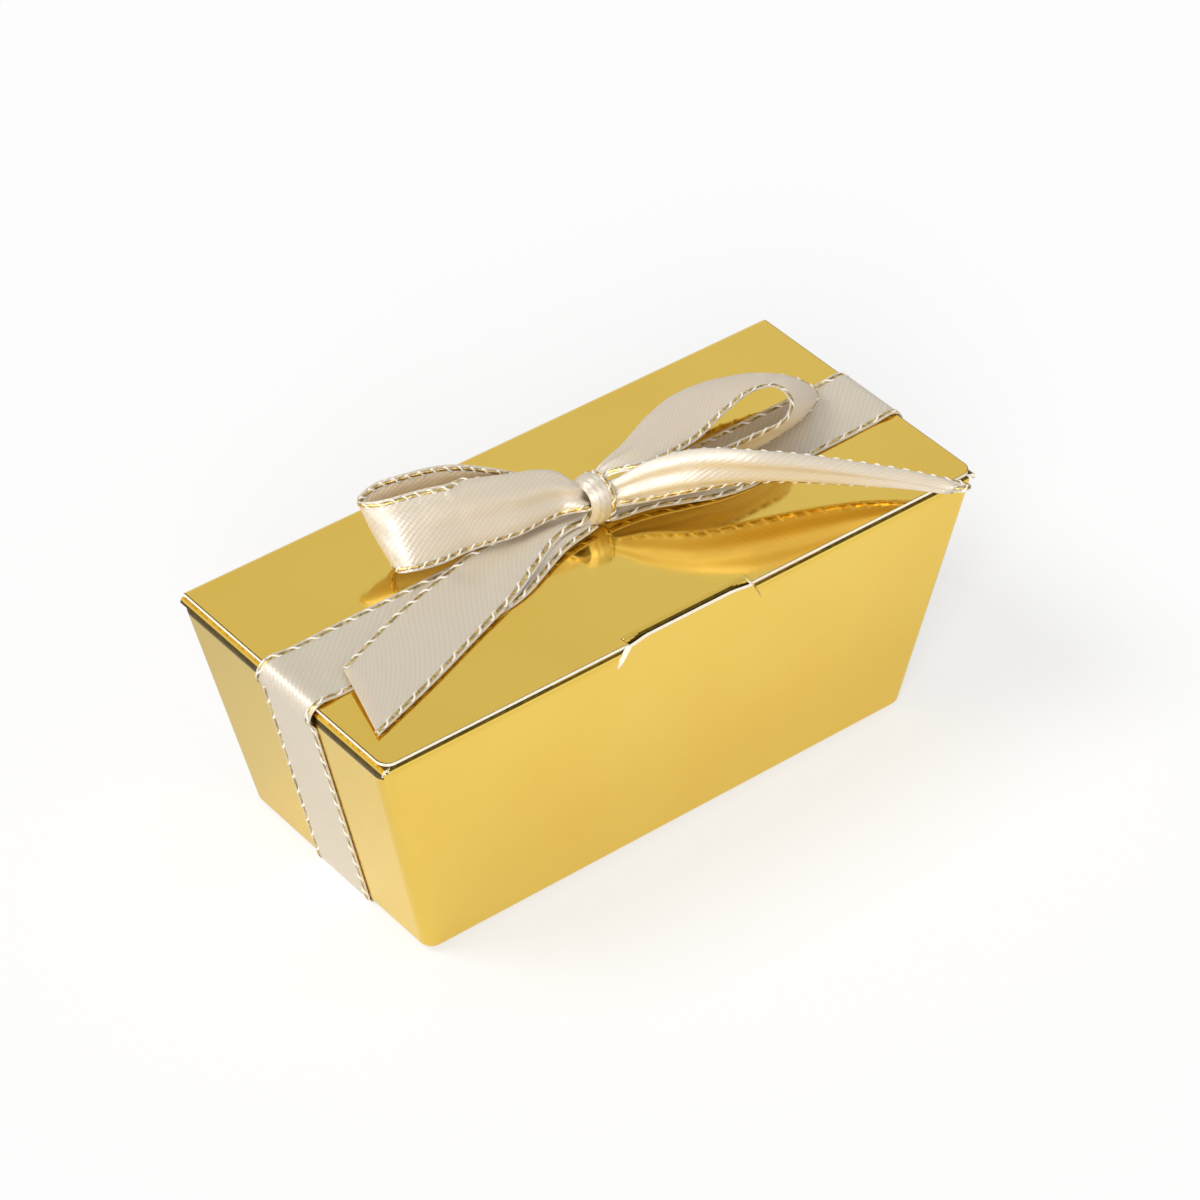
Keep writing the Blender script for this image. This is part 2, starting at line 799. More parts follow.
@dataclass
class FoldedBlank:
    """The box itself: walls, base, webs, flaps, lid and tab, all one sheet of foil board.

    Rows that lead into a crease are given as depth, inset and turn, and those that lead out of one as
    run, height and turn. Creased and stretched cells are given as the first row or column and the one
    after the last.
    """

    sizes: BlankSizes
    foil: bpy.types.Material
    board: bpy.types.Material
    creased_foil: bpy.types.Material
    stretched_foil: bpy.types.Material
    straight_steps: int = 36
    arc_steps: int = 5
    wall_rows: int = 20
    crease_rows: tuple[tuple[float, float, float], ...] = (
        (0.42, 0.03, 97), (0.2, 0.1, 112), (0.05, 0.2, 132))
    crease_start: float = 0.8
    out_of_crease: tuple[tuple[float, float, float], ...] = (
        (0.2, -0.04, -60.0), (0.09, 0.03, -38.0), (0.02, 0.11, -15.0))
    lip_lift: float = 0.34
    lift_below: float = 0.6
    lift_above: float = 0.2
    lift_from: float = 0.66
    least_step: float = 0.05
    middle_half: float = 3.0
    lid_columns: int = 40
    tab_columns: int = 10
    wall_creased: tuple[int | None, int | None] = (-3, None)
    dust_creased: tuple[tuple[int, int], ...] = ((0, 5), (9, 12))
    dust_stretched: tuple[int, int] = (7, 9)
    front_creased: tuple[int, int] = (5, 12)
    front_stretched: tuple[int, int] = (7, 12)
    front_stretched_columns: tuple[int, int] = (17, -17)
    tab_creased: tuple[int, int] = (3, 9)
    tab_taper: tuple[int, ...] = (7, 6, 5, 4)
    slit_bevel: float = 1.3
    bevel_below: float = 0.3

    def finish_sheet(self, name: str, grid: SheetGrid, node: str, body: str) -> None:
        """Makes one panel of the blank.

        Args:
            name: Name of the piece.
            grid: Its foil face, with the board under it.
            node: CAD node that the piece stands for.
            body: Body that it rides on.
        """
        draft = Draft(name, [self.foil, self.creased_foil, self.stretched_foil, self.board])
        grid.draw(draft, [state.value for state in FoilState], len(FoilState))
        made = draft.make()
        dress(made, node, body)
        LOG.info("%s: %d faces", name, len(made.data.polygons))

    def wall_grid(self, wall: Wall, rows: np.ndarray, shares: np.ndarray, leans: np.ndarray) -> SheetGrid:
        """Lays a grid over one wall.

        Args:
            wall: Which wall.
            rows: Height, inset and turn of the fold (0 at the underside, 90 on the wall) of each row.
            shares: Place along the straight part from 0 to 1, for each row and column.
            leans: Turn round the corner folds of each column, in degrees.

        Returns:
            The grid, with its outer face up.
        """
        s = self.sizes
        facing = math.radians(wall.value)
        ahead = np.array([math.cos(facing), math.sin(facing)])
        aside = np.array([-ahead[1], ahead[0]])
        points = np.zeros((*shares.shape, 3))
        normals = np.zeros_like(points)
        for row, (height, inset, turn) in enumerate(rows):
            half = np.array([s.base_length / 2 + height * s.end_slope,
                             s.base_width / 2 + height * s.side_slope]) - inset
            radius = s.corner_fold - inset
            reach = abs(ahead @ (half - radius))
            span = abs(aside @ (half - radius))
            angle = facing + np.radians(leans)
            spoke = np.stack([np.cos(angle), np.sin(angle)], axis=-1)
            centre = ahead * reach + aside * (span * (2 * shares[row] - 1))[:, None]
            points[row, :, :2] = centre + spoke * radius
            points[row, :, 2] = s.floor + height
            slope = s.end_slope * np.abs(spoke[:, 0]) + s.side_slope * np.abs(spoke[:, 1])
            upright = np.column_stack([spoke, -slope])
            bend = math.radians(turn)
            up = np.array([0.0, 0.0, 1.0])
            normals[row] = unit(upright * math.sin(bend) - up * math.cos(bend))
        return SheetGrid(points, normals, 0.0, s.board)

    def wall_rows_upto(self, top: float) -> list[tuple[float, float, float]]:
        """Lists the rows of a wall: round the base fold, then up to a height.

        Args:
            top: Height of the last row.

        Returns:
            Height, inset and turn of each row.
        """
        fold = self.sizes.base_fold
        rows = []
        for step in range(self.arc_steps + 1):
            angle = math.pi / 2 * step / self.arc_steps
            rows.append((fold * (1 - math.cos(angle)), fold * (1 - math.sin(angle)), math.degrees(angle)))
        rows += [(height, 0.0, 90.0) for height in np.linspace(fold, top, self.wall_rows + 1)[1:]]
        return rows

    def rows_into_crease(self) -> list[tuple[float, float, float]]:
        """Returns the rows where a wall turns into its rim crease, as height, inset and turn."""
        return [(self.sizes.wall - down, inset, turn) for down, inset, turn in self.crease_rows]

    def columns(self, straight: np.ndarray) -> tuple[np.ndarray, np.ndarray]:
        """Adds the columns of the two corner folds to those of the straight part.

        Args:
            straight: Places of the straight part's columns, from 0 to 1.

        Returns:
            Place and lean of each column.
        """
        arc = np.linspace(45, 0, self.arc_steps + 1)[:-1]
        shares = np.concatenate([np.zeros(len(arc)), straight, np.ones(len(arc))])
        leans = np.concatenate([-arc, np.zeros(len(straight)), arc[::-1]])
        return shares, leans

    def build_plain_wall(self, wall: Wall, node: str) -> None:
        """Builds an end wall or the back wall.

        Args:
            wall: Which wall.
            node: CAD node that it stands for.
        """
        rows = np.array(self.wall_rows_upto(self.sizes.wall - self.crease_start) + self.rows_into_crease())
        shares, leans = self.columns(np.linspace(0, 1, self.straight_steps + 1))
        grid = self.wall_grid(wall, rows, np.tile(shares, (len(rows), 1)), leans)
        self.mark(grid, self.wall_creased)
        self.finish_sheet(f"foil_{node}", grid, node, "tray")

    def build_front_wall(self) -> None:
        """Builds the front wall with its lip and the slit's two slanting ends."""
        s = self.sizes
        slit_foot = s.wall - s.slit_depth
        lip_top = s.wall + s.lip_height
        rows = self.wall_rows_upto(slit_foot - CUT_LINE) + [(slit_foot, 0.0, 90.0)]
        rows += [(h, 0.0, 90.0) for h in np.linspace(slit_foot, s.wall - self.crease_start, 6)[1:]]
        rows += self.rows_into_crease()
        crease = len(rows) - 1
        rows += [(h, 0.0, 90.0) for h in (s.wall + s.lip_height / 2, lip_top - CUT_LINE, lip_top)]
        rows = np.array(rows)
        lip = np.array([-1, -0.985, -0.93, -0.86, -0.78, -0.68, -0.5, -0.25, 0,
                        0.25, 0.5, 0.68, 0.78, 0.86, 0.93, 0.985, 1])
        beside = np.concatenate([[0, 0.01], np.linspace(0, 1, 15)[1:]])
        heights = np.maximum(rows[:, 0], slit_foot)
        shares = []
        for (height, _, _), level in zip(rows, heights):
            edge = s.lip_edge(level)
            span = s.base_length / 2 + height * s.end_slope - s.corner_fold
            right = edge + s.slit_width + beside * (span - edge - s.slit_width)
            across = np.concatenate([-right[::-1], lip * edge, right])
            shares.append(self.columns((across / span + 1) / 2)[0])
        leans = self.columns((across / span + 1) / 2)[1]
        shares = np.array(shares)
        first_lip = self.arc_steps + len(beside)
        last_lip = first_lip + len(lip) - 1
        flat = rows.copy()
        flat[crease + 1 - len(self.crease_rows):, 1:] = (0.0, 90.0)
        grid = self.wall_grid(Wall.FRONT, rows, shares, leans)
        plain = self.wall_grid(Wall.FRONT, flat, shares, leans)
        inside = slice(first_lip, last_lip + 1)
        grid.points[:, inside] = plain.points[:, inside]
        grid.normals[:, inside] = plain.normals[:, inside]
        rise = gentle((rows[:, 0] - slit_foot + self.lift_below) / (s.slit_depth + self.lift_above))
        towards_ends = gentle((np.abs(lip) - self.lift_from) / (1 - self.lift_from))
        outward = rise[:, None] * towards_ends[None, :] * self.lip_lift
        grid.points[:, inside] += grid.normals[:, inside] * outward[..., None]
        apart = np.maximum(np.gradient(grid.points[:, inside, 0], axis=1), self.least_step)
        grid.normals[:, inside, 0] -= np.gradient(outward, axis=1) / apart
        grid.normals[:, inside] = unit(grid.normals[:, inside])
        keep = np.ones((len(rows) - 1, shares.shape[1] - 1), bool)
        keep[crease:, :first_lip] = False
        keep[crease:, last_lip:] = False
        foot = int(np.argmax(rows[:, 0] >= slit_foot - 1e-6))
        keep[foot:, first_lip - 1] = False
        keep[foot:, last_lip] = False
        grid.keep = keep
        last_column = keep.shape[1] - 1

        def folded(row: int, column: int, edge: int) -> bool:
            """Says whether a border is a fold: the base, the corners, and the rim beside the lip."""
            outer = column in (0, last_column) and edge in (1, 3)
            beside_lip = row == crease - 1 and edge == 2
            return row == 0 and edge == 0 or outer or beside_lip

        grid.roll_cut_edges(folded)
        bevel = self.slit_bevel * gentle((rows[:, 0] - slit_foot + self.bevel_below) / s.slit_depth)
        grid.through[:, first_lip, 0] += bevel
        grid.through[:, last_lip + 1, 0] += bevel / 2
        self.finish_sheet("foil_front_panel", grid, "front_panel", "tray")

    def build_base(self) -> None:
        """Builds the base panel, foil face down."""
        s = self.sizes
        radius = s.corner_fold - s.base_fold
        half_x = s.base_length / 2 - s.base_fold
        half_y = s.base_width / 2 - s.base_fold
        bend = np.sin(np.linspace(0, math.pi / 2, 6))
        upper = half_y - radius + radius * bend
        straight = np.linspace(-half_y + radius, half_y - radius, 14)[1:-1]
        rows = np.concatenate([-upper[::-1], straight, upper])
        past = np.clip((np.abs(rows) - half_y + radius) / radius, 0, 1)
        reach = half_x - radius * (1 - np.sqrt(1 - past ** 2))
        across = np.linspace(-1, 1, 33)
        points = np.zeros((len(rows), len(across), 3))
        points[..., 0] = reach[:, None] * across[None, :]
        points[..., 1] = rows[:, None]
        points[..., 2] = s.floor
        normals = np.zeros_like(points)
        normals[..., 2] = -1
        self.finish_sheet("foil_base_panel", SheetGrid(points, normals, 0.0, s.board), "base_panel", "tray")

    def build_web(self, end: int, side: int, node: str) -> None:
        """Builds a web glued flat inside an end wall.

        Args:
            end: -1 for the left end, 1 for the right.
            side: -1 for the front, 1 for the back.
            node: CAD node that it stands for.
        """
        s = self.sizes
        low, high = s.base_fold + s.board, s.wall - s.web_drop
        heights = np.linspace(low, high, 12)
        shares = np.linspace(0, 1, 8)
        width = s.web_width - s.web_taper * (high - heights) / (high - low)
        points = np.zeros((len(heights), len(shares), 3))
        wall_inside = s.base_length / 2 + heights * s.end_slope - s.board - s.glue_line
        points[..., 0] = (end * wall_inside)[:, None]
        start = s.base_width / 2 + heights * s.side_slope - s.corner_fold
        points[..., 1] = side * (start[:, None] - width[:, None] * shares[None, :])
        points[..., 2] = (s.floor + heights)[:, None]
        normals = np.zeros_like(points)
        normals[:] = unit(np.array([end, 0.0, -s.end_slope]))
        grid = SheetGrid(points, normals, 0.0, s.board)
        self.finish_sheet(f"foil_{node}", grid, node, "tray")

    def flap_grid(self, origin: Sequence[float], inward: Sequence[float],
                  profile: Sequence[tuple[float, float, float]], half_at: Callable[[float, float], float],
                  notch_at: Callable[[float, float], float], free: int = 24) -> SheetGrid:
        """Lays a grid over a flap that folds from a crease.

        Args:
            origin: Middle of the crease.
            inward: Way from the crease along the flap.
            profile: Run, height and turn of the face (0 outwards, 90 up) of each row.
            half_at: Half width of the flap at a run and a height.
            notch_at: Half width of the middle columns at a run and a height, for a cut-out there.
            free: Number of columns at each side of the notch.

        Returns:
            The grid, with its foil face up.
        """
        inward = np.asarray([*inward, 0.0])
        aside = np.array([-inward[1], inward[0], 0.0])
        beside = np.concatenate([[0.0], np.linspace(0.012, 0.9965, free), [1.0]])
        middle = np.array([-1, -0.985, -0.7, -0.35, 0, 0.35, 0.7, 0.985, 1])
        points = []
        normals = []
        for run, height, turn in profile:
            notch = notch_at(run, height)
            outer = notch + beside * (half_at(run, height) - notch)
            across = np.concatenate([-outer[:0:-1], middle * notch, outer[1:]])
            spot = np.asarray(origin) + inward * run + np.array([0, 0, height])
            points.append(spot + aside * across[:, None])
            angle = math.radians(turn)
            normal = -inward * math.cos(angle) + np.array([0, 0, math.sin(angle)])
            normals.append(np.tile(normal, (len(across), 1)))
        return SheetGrid(np.array(points), np.array(normals), 0.0, self.sizes.board)

    def fold_profile(self, top: float, radius: float) -> list[tuple[float, float, float]]:
        """Returns the rows of a fold from its crease to the flap's face.

        Args:
            top: Height of the face.
            radius: Outer radius of the fold.
        """
        steps = 8
        turns = [math.pi / 2 * step / steps for step in range(steps + 1)]
        arc = [(radius * (1 - math.cos(a)), top - radius + radius * math.sin(a), math.degrees(a))
               for a in turns]
        return [*self.out_of_crease, *arc]

    def mark(self, grid: SheetGrid, rows: tuple[int | None, int | None], state: FoilState = FoilState.CREASED,
             columns: slice | Sequence[int] = slice(None)) -> None:
        """Marks cells of a sheet as creased or stretched.

        Args:
            grid: The sheet.
            rows: First row of the cells, and the row after the last.
            state: What they are.
            columns: Columns of the cells.
        """
        if grid.states is None:
            grid.states = np.zeros((grid.points.shape[0] - 1, grid.points.shape[1] - 1), int)
        grid.states[slice(*rows), columns] = state.value

    def build_dust_flap(self, end: int, node: str) -> None:
        """Builds a dust flap: its crease swells into a round bead where the lid presses on it.

        Args:
            end: -1 for the left end, 1 for the right.
            node: CAD node that it stands for, and its body.
        """
        s = self.sizes
        radius = s.front_top - s.crease_gap - s.fold_rise
        profile = self.fold_profile(s.front_top, radius)
        fall = s.front_top - s.dust_top
        for share in np.linspace(0, 1, 7)[1:]:
            run = radius + share * (s.bead_run - radius)
            slope = 6 * share * (1 - share) * fall / (s.bead_run - radius)
            height = s.front_top - fall * float(gentle(share))
            profile.append((run, height, 90 + math.degrees(math.atan(slope))))
        last = s.flap_depth
        profile += [(run, s.dust_top, 90.0) for run in (*np.linspace(3.4, last - CUT_LINE, 8), last)]

        def half_at(run: float, height: float) -> float:
            """Returns the half width of the flap at a run from its crease."""
            mitre = s.flap_corner + max(min(run, s.bead_run) - s.bead_end, 0.0)
            return s.top_width / 2 - mitre - max(run - s.bead_run, 0.0) * s.dust_taper

        origin = (end * s.top_length / 2, 0, s.rim)
        grid = self.flap_grid(origin, (-end, 0), profile, half_at, lambda *_: self.middle_half)
        self.mark(grid, self.dust_stretched, FoilState.STRETCHED)
        for rows in self.dust_creased:
            self.mark(grid, rows)
        grid.roll_cut_edges(on_crease)
        self.finish_sheet(f"foil_{node}", grid, node, node)

    def build_front_flap(self) -> None:
        """Builds the inner front flap, cut out in the middle for the tuck tab."""
        s = self.sizes
        radius = s.front_top - s.crease_gap - s.fold_rise
        mitre_end = radius + s.board
        shoulder = s.bead_run + s.flap_corner + s.layer_gap
        slot_depth = s.board + s.tab_clearance + s.board + s.slot_play
        slot_half = s.lip_edge(s.wall) + s.tab_clearance
        runs = [mitre_end, slot_depth, mitre_end + s.board + 0.01, 3.0, 5.0, 7.0, 9.0, 11.0, 13.0,
                s.flap_depth - CUT_LINE, s.flap_depth]
        profile = self.fold_profile(s.front_top, radius)
        profile += [(run, s.front_top, 90.0) for run in sorted(runs)]

        def half_at(run: float, height: float) -> float:
            """Returns the half width of the flap at a run from its crease."""
            if run <= mitre_end + s.layer_gap:
                return s.top_length / 2 - s.flap_corner - s.bead_end - max(run, 0.0)
            return s.top_length / 2 - shoulder - (run - mitre_end) * s.front_taper

        def notch_at(run: float, height: float) -> float:
            """Returns the half width of the slot, which follows the lip's slanting ends at the fold."""
            return s.lip_edge(s.wall + max(height, 0.0)) + s.lip_gap if run < s.board else slot_half

        grid = self.flap_grid((0, -s.top_width / 2, s.rim), (0, 1), profile, half_at, notch_at)
        self.mark(grid, self.front_creased)
        self.mark(grid, self.front_stretched, FoilState.STRETCHED, slice(*self.front_stretched_columns))
        self.cut_notch(grid, profile, slot_half, 0.0, slot_depth)
        grid.roll_cut_edges(on_crease)
        self.finish_sheet("foil_front_flap", grid, "front_flap", "front_flap")

    def cut_notch(self, grid: SheetGrid, profile: Sequence[tuple[float, float, float]],
                  half: float, start: float, stop: float) -> None:
        """Takes the middle cells away between two runs.

        Args:
            grid: The flap's grid.
            profile: Its rows.
            half: Half width of the notch.
            start: Run at which the notch starts.
            stop: Run at which it ends.
        """
        runs = np.array([run for run, _, _ in profile])
        aside = grid.points[-1] - grid.points[-1].mean(axis=0)
        across = np.linalg.norm(aside, axis=1)
        inner_column = (across[1:] + across[:-1]) / 2 < half
        middles = (runs[1:] + runs[:-1]) / 2
        inner_row = (middles > start - 0.05) & (middles < stop)
        grid.keep = ~(inner_row[:, None] & inner_column[None, :])

    def build_lid(self) -> None:
        """Builds the lid, with its fold along the back and its notch for the tab at the front."""
        s = self.sizes
        depth = s.top_width - s.lid_front_inset
        half = s.top_length / 2 - s.lid_end_inset
        bend = [depth - s.lid_corner + s.lid_corner * math.sin(a) for a in np.linspace(0, math.pi / 2, 9)]
        notch_run = s.top_width - s.tab_setback
        runs = [*np.linspace(2.0, depth - s.lid_corner - 0.6, 26), notch_run - CUT_LINE, notch_run, *bend,
                depth - CUT_LINE * 0.6]
        profile = self.fold_profile(s.lid_top, s.lid_fold)
        profile += [(run, s.lid_top, 90.0) for run in sorted(runs)]

        def half_at(run: float, height: float) -> float:
            """Returns the half width of the lid at a run from its crease."""
            past = min(max(run - (depth - s.lid_corner), 0.0) / s.lid_corner, 1.0)
            return half - s.lid_corner * (1 - math.sqrt(1 - past ** 2))

        origin = (0, s.top_width / 2, s.rim)
        grid = self.flap_grid(origin, (0, -1), profile, half_at, lambda *_: s.notch_half, self.lid_columns)
        self.cut_notch(grid, profile, s.notch_half, notch_run, depth)
        self.mark(grid, (5, None), columns=[0, -1])
        self.mark(grid, (-1, None))
        grid.roll_cut_edges(on_crease)
        self.finish_sheet("foil_lid_panel", grid, "lid_panel", "lid")

    def build_tab(self) -> None:
        """Builds the tuck tab, which folds down from the lid's notch."""
        s = self.sizes
        drop = s.tab_depth - s.tab_fold
        slope = s.side_slope + s.tab_lean
        out = s.fold_rise + s.tab_fold
        profile = [(s.crease_gap, 0.0, 90.0)]
        for step in range(8):
            angle = math.pi / 2 * step / 7
            run = s.fold_rise + s.tab_fold * math.sin(angle)
            profile.append((run, -s.tab_fold * (1 - math.cos(angle)), 90 + math.degrees(angle)))
        hang = 180 + math.degrees(math.atan(slope))
        for share in (*np.linspace(0, 0.985, 12)[1:], 1.0):
            profile.append((out - slope * drop * share, -s.tab_fold - drop * share, hang))

        def half_at(run: float, height: float) -> float:
            """Returns the half width of the tab at a height, rounded off at its lower corners."""
            past = min(max(s.tab_corner - s.tab_depth - height, 0.0) / s.tab_corner, 1.0)
            wider = s.notch_half - s.tab_gap - s.tab_width / 2
            shoulder = wider * (1 - float(gentle(-height / s.tab_shoulder)))
            corner = s.tab_corner * s.tab_corner_run * (1 - math.sqrt(1 - past ** 2))
            return s.tab_width / 2 + shoulder - corner

        origin = (0, -s.top_width / 2 + s.tab_setback, s.lid)
        grid = self.flap_grid(origin, (0, -1), profile, half_at, lambda *_: self.middle_half,
                              self.tab_columns)
        first, last = self.tab_creased
        for step, start in enumerate(self.tab_taper):
            self.mark(grid, (start, last), columns=[step, -1 - step])
        self.mark(grid, (first, last), columns=slice(len(self.tab_taper), -len(self.tab_taper)))
        grid.roll_cut_edges(on_crease)
        self.finish_sheet("foil_tuck_tab", grid, "tuck_tab", "tuck_tab")

    def build(self) -> None:
        """Builds every panel of the blank."""
        self.build_base()
        self.build_front_wall()
        self.build_plain_wall(Wall.RIGHT, "right_end_panel")
        self.build_plain_wall(Wall.BACK, "back_panel")
        self.build_plain_wall(Wall.LEFT, "left_end_panel")
        for end, end_name in ((-1, "left"), (1, "right")):
            for side, side_name in ((-1, "front"), (1, "back")):
                self.build_web(end, side, f"{side_name}_{end_name}_glue_web")
            self.build_dust_flap(end, f"{end_name}_dust_flap")
        self.build_front_flap()
        self.build_lid()
        self.build_tab()


# Ribbon


def run_along(line: np.ndarray) -> np.ndarray:
    """Returns the length along a line at each of its points."""
    return np.concatenate([[0.0], np.cumsum(np.linalg.norm(np.diff(line, axis=0), axis=1))])


def read_line(places: float | np.ndarray, run: np.ndarray, line: np.ndarray) -> np.ndarray:
    """Returns the points of a line at one or more places, where run is the place of each of its points."""
    return np.stack([np.interp(places, run, line[:, k]) for k in range(3)], axis=-1)


def smooth_line(stations: np.ndarray, places: np.ndarray) -> np.ndarray:
    """Runs a centripetal Catmull-Rom line through stations, as the CAD part does.

    Args:
        stations: Points that the line passes.
        places: Where to read it, counted in stations.

    Returns:
        A point for each place.
    """
    first, last = 2 * stations[0] - stations[1], 2 * stations[-1] - stations[-2]
    ends = np.vstack([first, stations, last])
    i = np.minimum(places.astype(int), len(stations) - 2)
    w = (places - i)[:, None]
    p0, p1, p2, p3 = (ends[i + k] for k in range(4))
    pairs = ((p0, p1), (p1, p2), (p2, p3))
    d0, d1, d2 = (np.sqrt(np.linalg.norm(b - a, axis=1, keepdims=True)) for a, b in pairs)
    d1 = np.where(d1 < 1e-4, 1.0, d1)
    d0, d2 = np.where(d0 < 1e-4, d1, d0), np.where(d2 < 1e-4, d1, d2)
    out = ((p1 - p0) / d0 - (p2 - p0) / (d0 + d1) + (p2 - p1) / d1) * d1
    into = ((p2 - p1) / d1 - (p3 - p1) / (d1 + d2) + (p3 - p2) / d2) * d1
    square = 3 * (p2 - p1) - 2 * out - into
    cube = 2 * (p1 - p2) + out + into
    return p1 + out * w + square * w ** 2 + cube * w ** 3


@dataclass
class RibbonSizes:
    """Sizes of the ribbon, its woven edges and the knot, in millimetres.

    The soft bend at the rim comes from two lists. On the wall, dent gives depth below the rim and
    distance from the wall. On the lid, settling gives distance from the lid's end and height.
    """

    width: float = 10.0
    thickness: float = 0.15
    gap: float = 0.05
    cad_thickness: float = 0.25
    shift: float = -1.0
    drift: float = 0.014
    stand_off: float = 0.45
    bend: float = 2.0
    bend_rise: float = 0.22
    pinch: float = 4.0
    gather_length: float = 16.0
    gather_lift: float = 0.55
    gather_shift: float = -0.4
    knot_x: float = 1.7
    knot_y: float = 0.8
    knot_length: float = 3.4
    knot_depth: float = 5.4
    knot_height: float = 5.9
    knot_seat: float = 0.15
    knot_slide: float = 0.175
    knot_slide_turn: float = 0.6
    knot_shrink: float = 0.14
    knot_crease: float = 0.06
    bow_gap: float = 0.3
    into_knot: float = 1.1
    twist_pitch: float = 2.6
    twist_inset: float = 0.5
    twist_dwell: float = 0.36
    twist_row: float = 0.2
    twist_slip: float = 0.45
    yarn_spread: float = 0.15
    yarn_sides: int = 6
    gold_wide: float = 0.24
    gold_thick: float = 0.18
    white_wide: float = 0.18
    white_thick: float = 0.13
    curl: float = 2.2
    fold_slack: float = 1.1
    fold_deepest: float = 0.62
    fold_share: float = 0.45
    dent: tuple[tuple[float, float], ...] = ((1.0, 0.14), (1.5, -0.02), (2.0, -0.05), (2.6, 0.02), (3.4, 0.0))
    settling: tuple[tuple[float, float], ...] = ((-2.0, 0.15), (-3.2, 0.0))

    @property
    def off(self) -> float:
        """Height of the ribbon's middle above the board that it lies on."""
        return self.gap + self.cad_thickness / 2

    def cross_y(self, x: float) -> float:
        """Returns the ribbon's middle along Y where it crosses the lid, a little askew."""
        return self.shift + self.drift * x


Station = tuple[Sequence[float], Sequence[float], float]


class RibbonPart(Enum):
    """Finishes of a ribbon piece, by number."""

    SATIN = 0
    GOLD = 1
    CORD = 2


def curl_line(line: np.ndarray, up: np.ndarray, reach: float, angle: float) -> np.ndarray:
    """Curls the start of a line over, and moves the rest outwards by what that takes away.

    Args:
        line: Points from the edge inwards.
        up: The way that a positive angle curls towards.
        reach: Length that curls.
        angle: How far the very edge turns, in radians.

    Returns:
        The new points.
    """
    inwards = run_along(line)
    radius = reach / abs(angle)
    bulge = radius * math.sin(min(abs(angle), math.pi / 2))
    before = bulge + (inwards - reach) * (inwards[-1] - bulge) / (inwards[-1] - reach)
    moved = read_line(before, inwards, line)
    base = read_line(bulge, inwards, line)
    turned = (reach - inwards) / radius
    away = unit(line[0] - base) * np.sin(turned)[:, None]
    over = up * math.copysign(1, angle) * (1 - np.cos(turned))[:, None]
    return np.where((inwards < reach)[:, None], base + (away + over) * radius, moved)


@dataclass(frozen=True)
class Curl:
    """A stretch of an edge that curls over.

    The side is 0 for edge A and 1 for edge B. It goes from start to stop, as shares of the length.
    """

    side: int
    start: float
    stop: float
    turn: float
    ramp: float = 0.07

    def angle_at(self, share: float) -> float:
        """Returns how far the edge is turned at a share of the length, in radians."""
        comes = 1.0 if self.start <= 0 else float(gentle((share - self.start) / self.ramp))
        goes = 1.0 if self.stop >= 1 else float(gentle((self.stop - share) / self.ramp))
        return math.radians(self.turn) * comes * goes


@dataclass
class RibbonLength:
    """One length of the ribbon: a woven strip with gold and white yarn twisted along each edge."""

    sizes: RibbonSizes
    finishes: Sequence[bpy.types.Material]
    stations: Sequence[Station]
    rows: int
    columns: int = 18
    folds: float = 2.0
    fold_phase: float = 0.0
    pitch: float | None = None
    seed: int = 1
    curls: Sequence[Curl] = ()

    def middle(self) -> np.ndarray:
        """Returns the middle surface of the strip: rows by columns by 3."""
        count = len(self.stations) - 1
        places = np.linspace(0, count, self.rows + 1)
        edge_a = smooth_line(np.array([s[0] for s in self.stations], float), places)
        edge_b = smooth_line(np.array([s[1] for s in self.stations], float), places)
        cups = np.interp(places, np.arange(count + 1), [s[2] for s in self.stations])
        chord = np.linalg.norm(edge_a - edge_b, axis=1)
        way = np.gradient((edge_a + edge_b) / 2, axis=0)
        up = unit(np.cross(way, edge_a - edge_b))
        across = np.linspace(0, 1, self.columns + 1)
        bow = cups[:, None] * 4 * across * (1 - across)
        s = self.sizes
        spare = np.maximum(s.width / np.maximum(chord, 1.0) - s.fold_slack, 0.0)
        deep = np.minimum(chord / (math.pi * self.folds) * np.sqrt(spare), s.fold_deepest) * s.fold_share
        waves = np.sin(2 * math.pi * self.folds * across + self.fold_phase)
        hem = np.sin(math.pi * across) ** 0.5
        lift = bow + deep[:, None] * (waves * hem)[None, :]
        flat = edge_a[:, None] + (edge_b - edge_a)[:, None] * across[None, :, None]
        points = flat + up[:, None] * lift[..., None]
        for curl in self.curls:
            order = slice(None) if curl.side == 0 else slice(None, None, -1)
            for row, share in enumerate(np.linspace(0, 1, self.rows + 1)):
                angle = curl.angle_at(share)
                if abs(angle) > 0.01:
                    points[row, order] = curl_line(points[row, order], up[row], self.sizes.curl, angle)
        return points

    def build(self, name: str, node: str, body: str, held: str, rests_on: Sequence[str]) -> None:
        """Args:
            name: Name of the piece.
            node: CAD node that it stands for.
            body: Body that it rides on.
            held: How the sheet is held.
            rests_on: What it lies on.
        """
        surface = WovenSurface(self.middle(), self.sizes)
        draft = Draft(name, self.finishes)
        surface.draw_strip(draft)
        surface.draw_edges(draft, self.pitch or self.sizes.twist_pitch, self.seed)
        made = draft.make()
        dress(made, node, body)
        LOG.info("%s: %.1f mm of ribbon", name, surface.length())


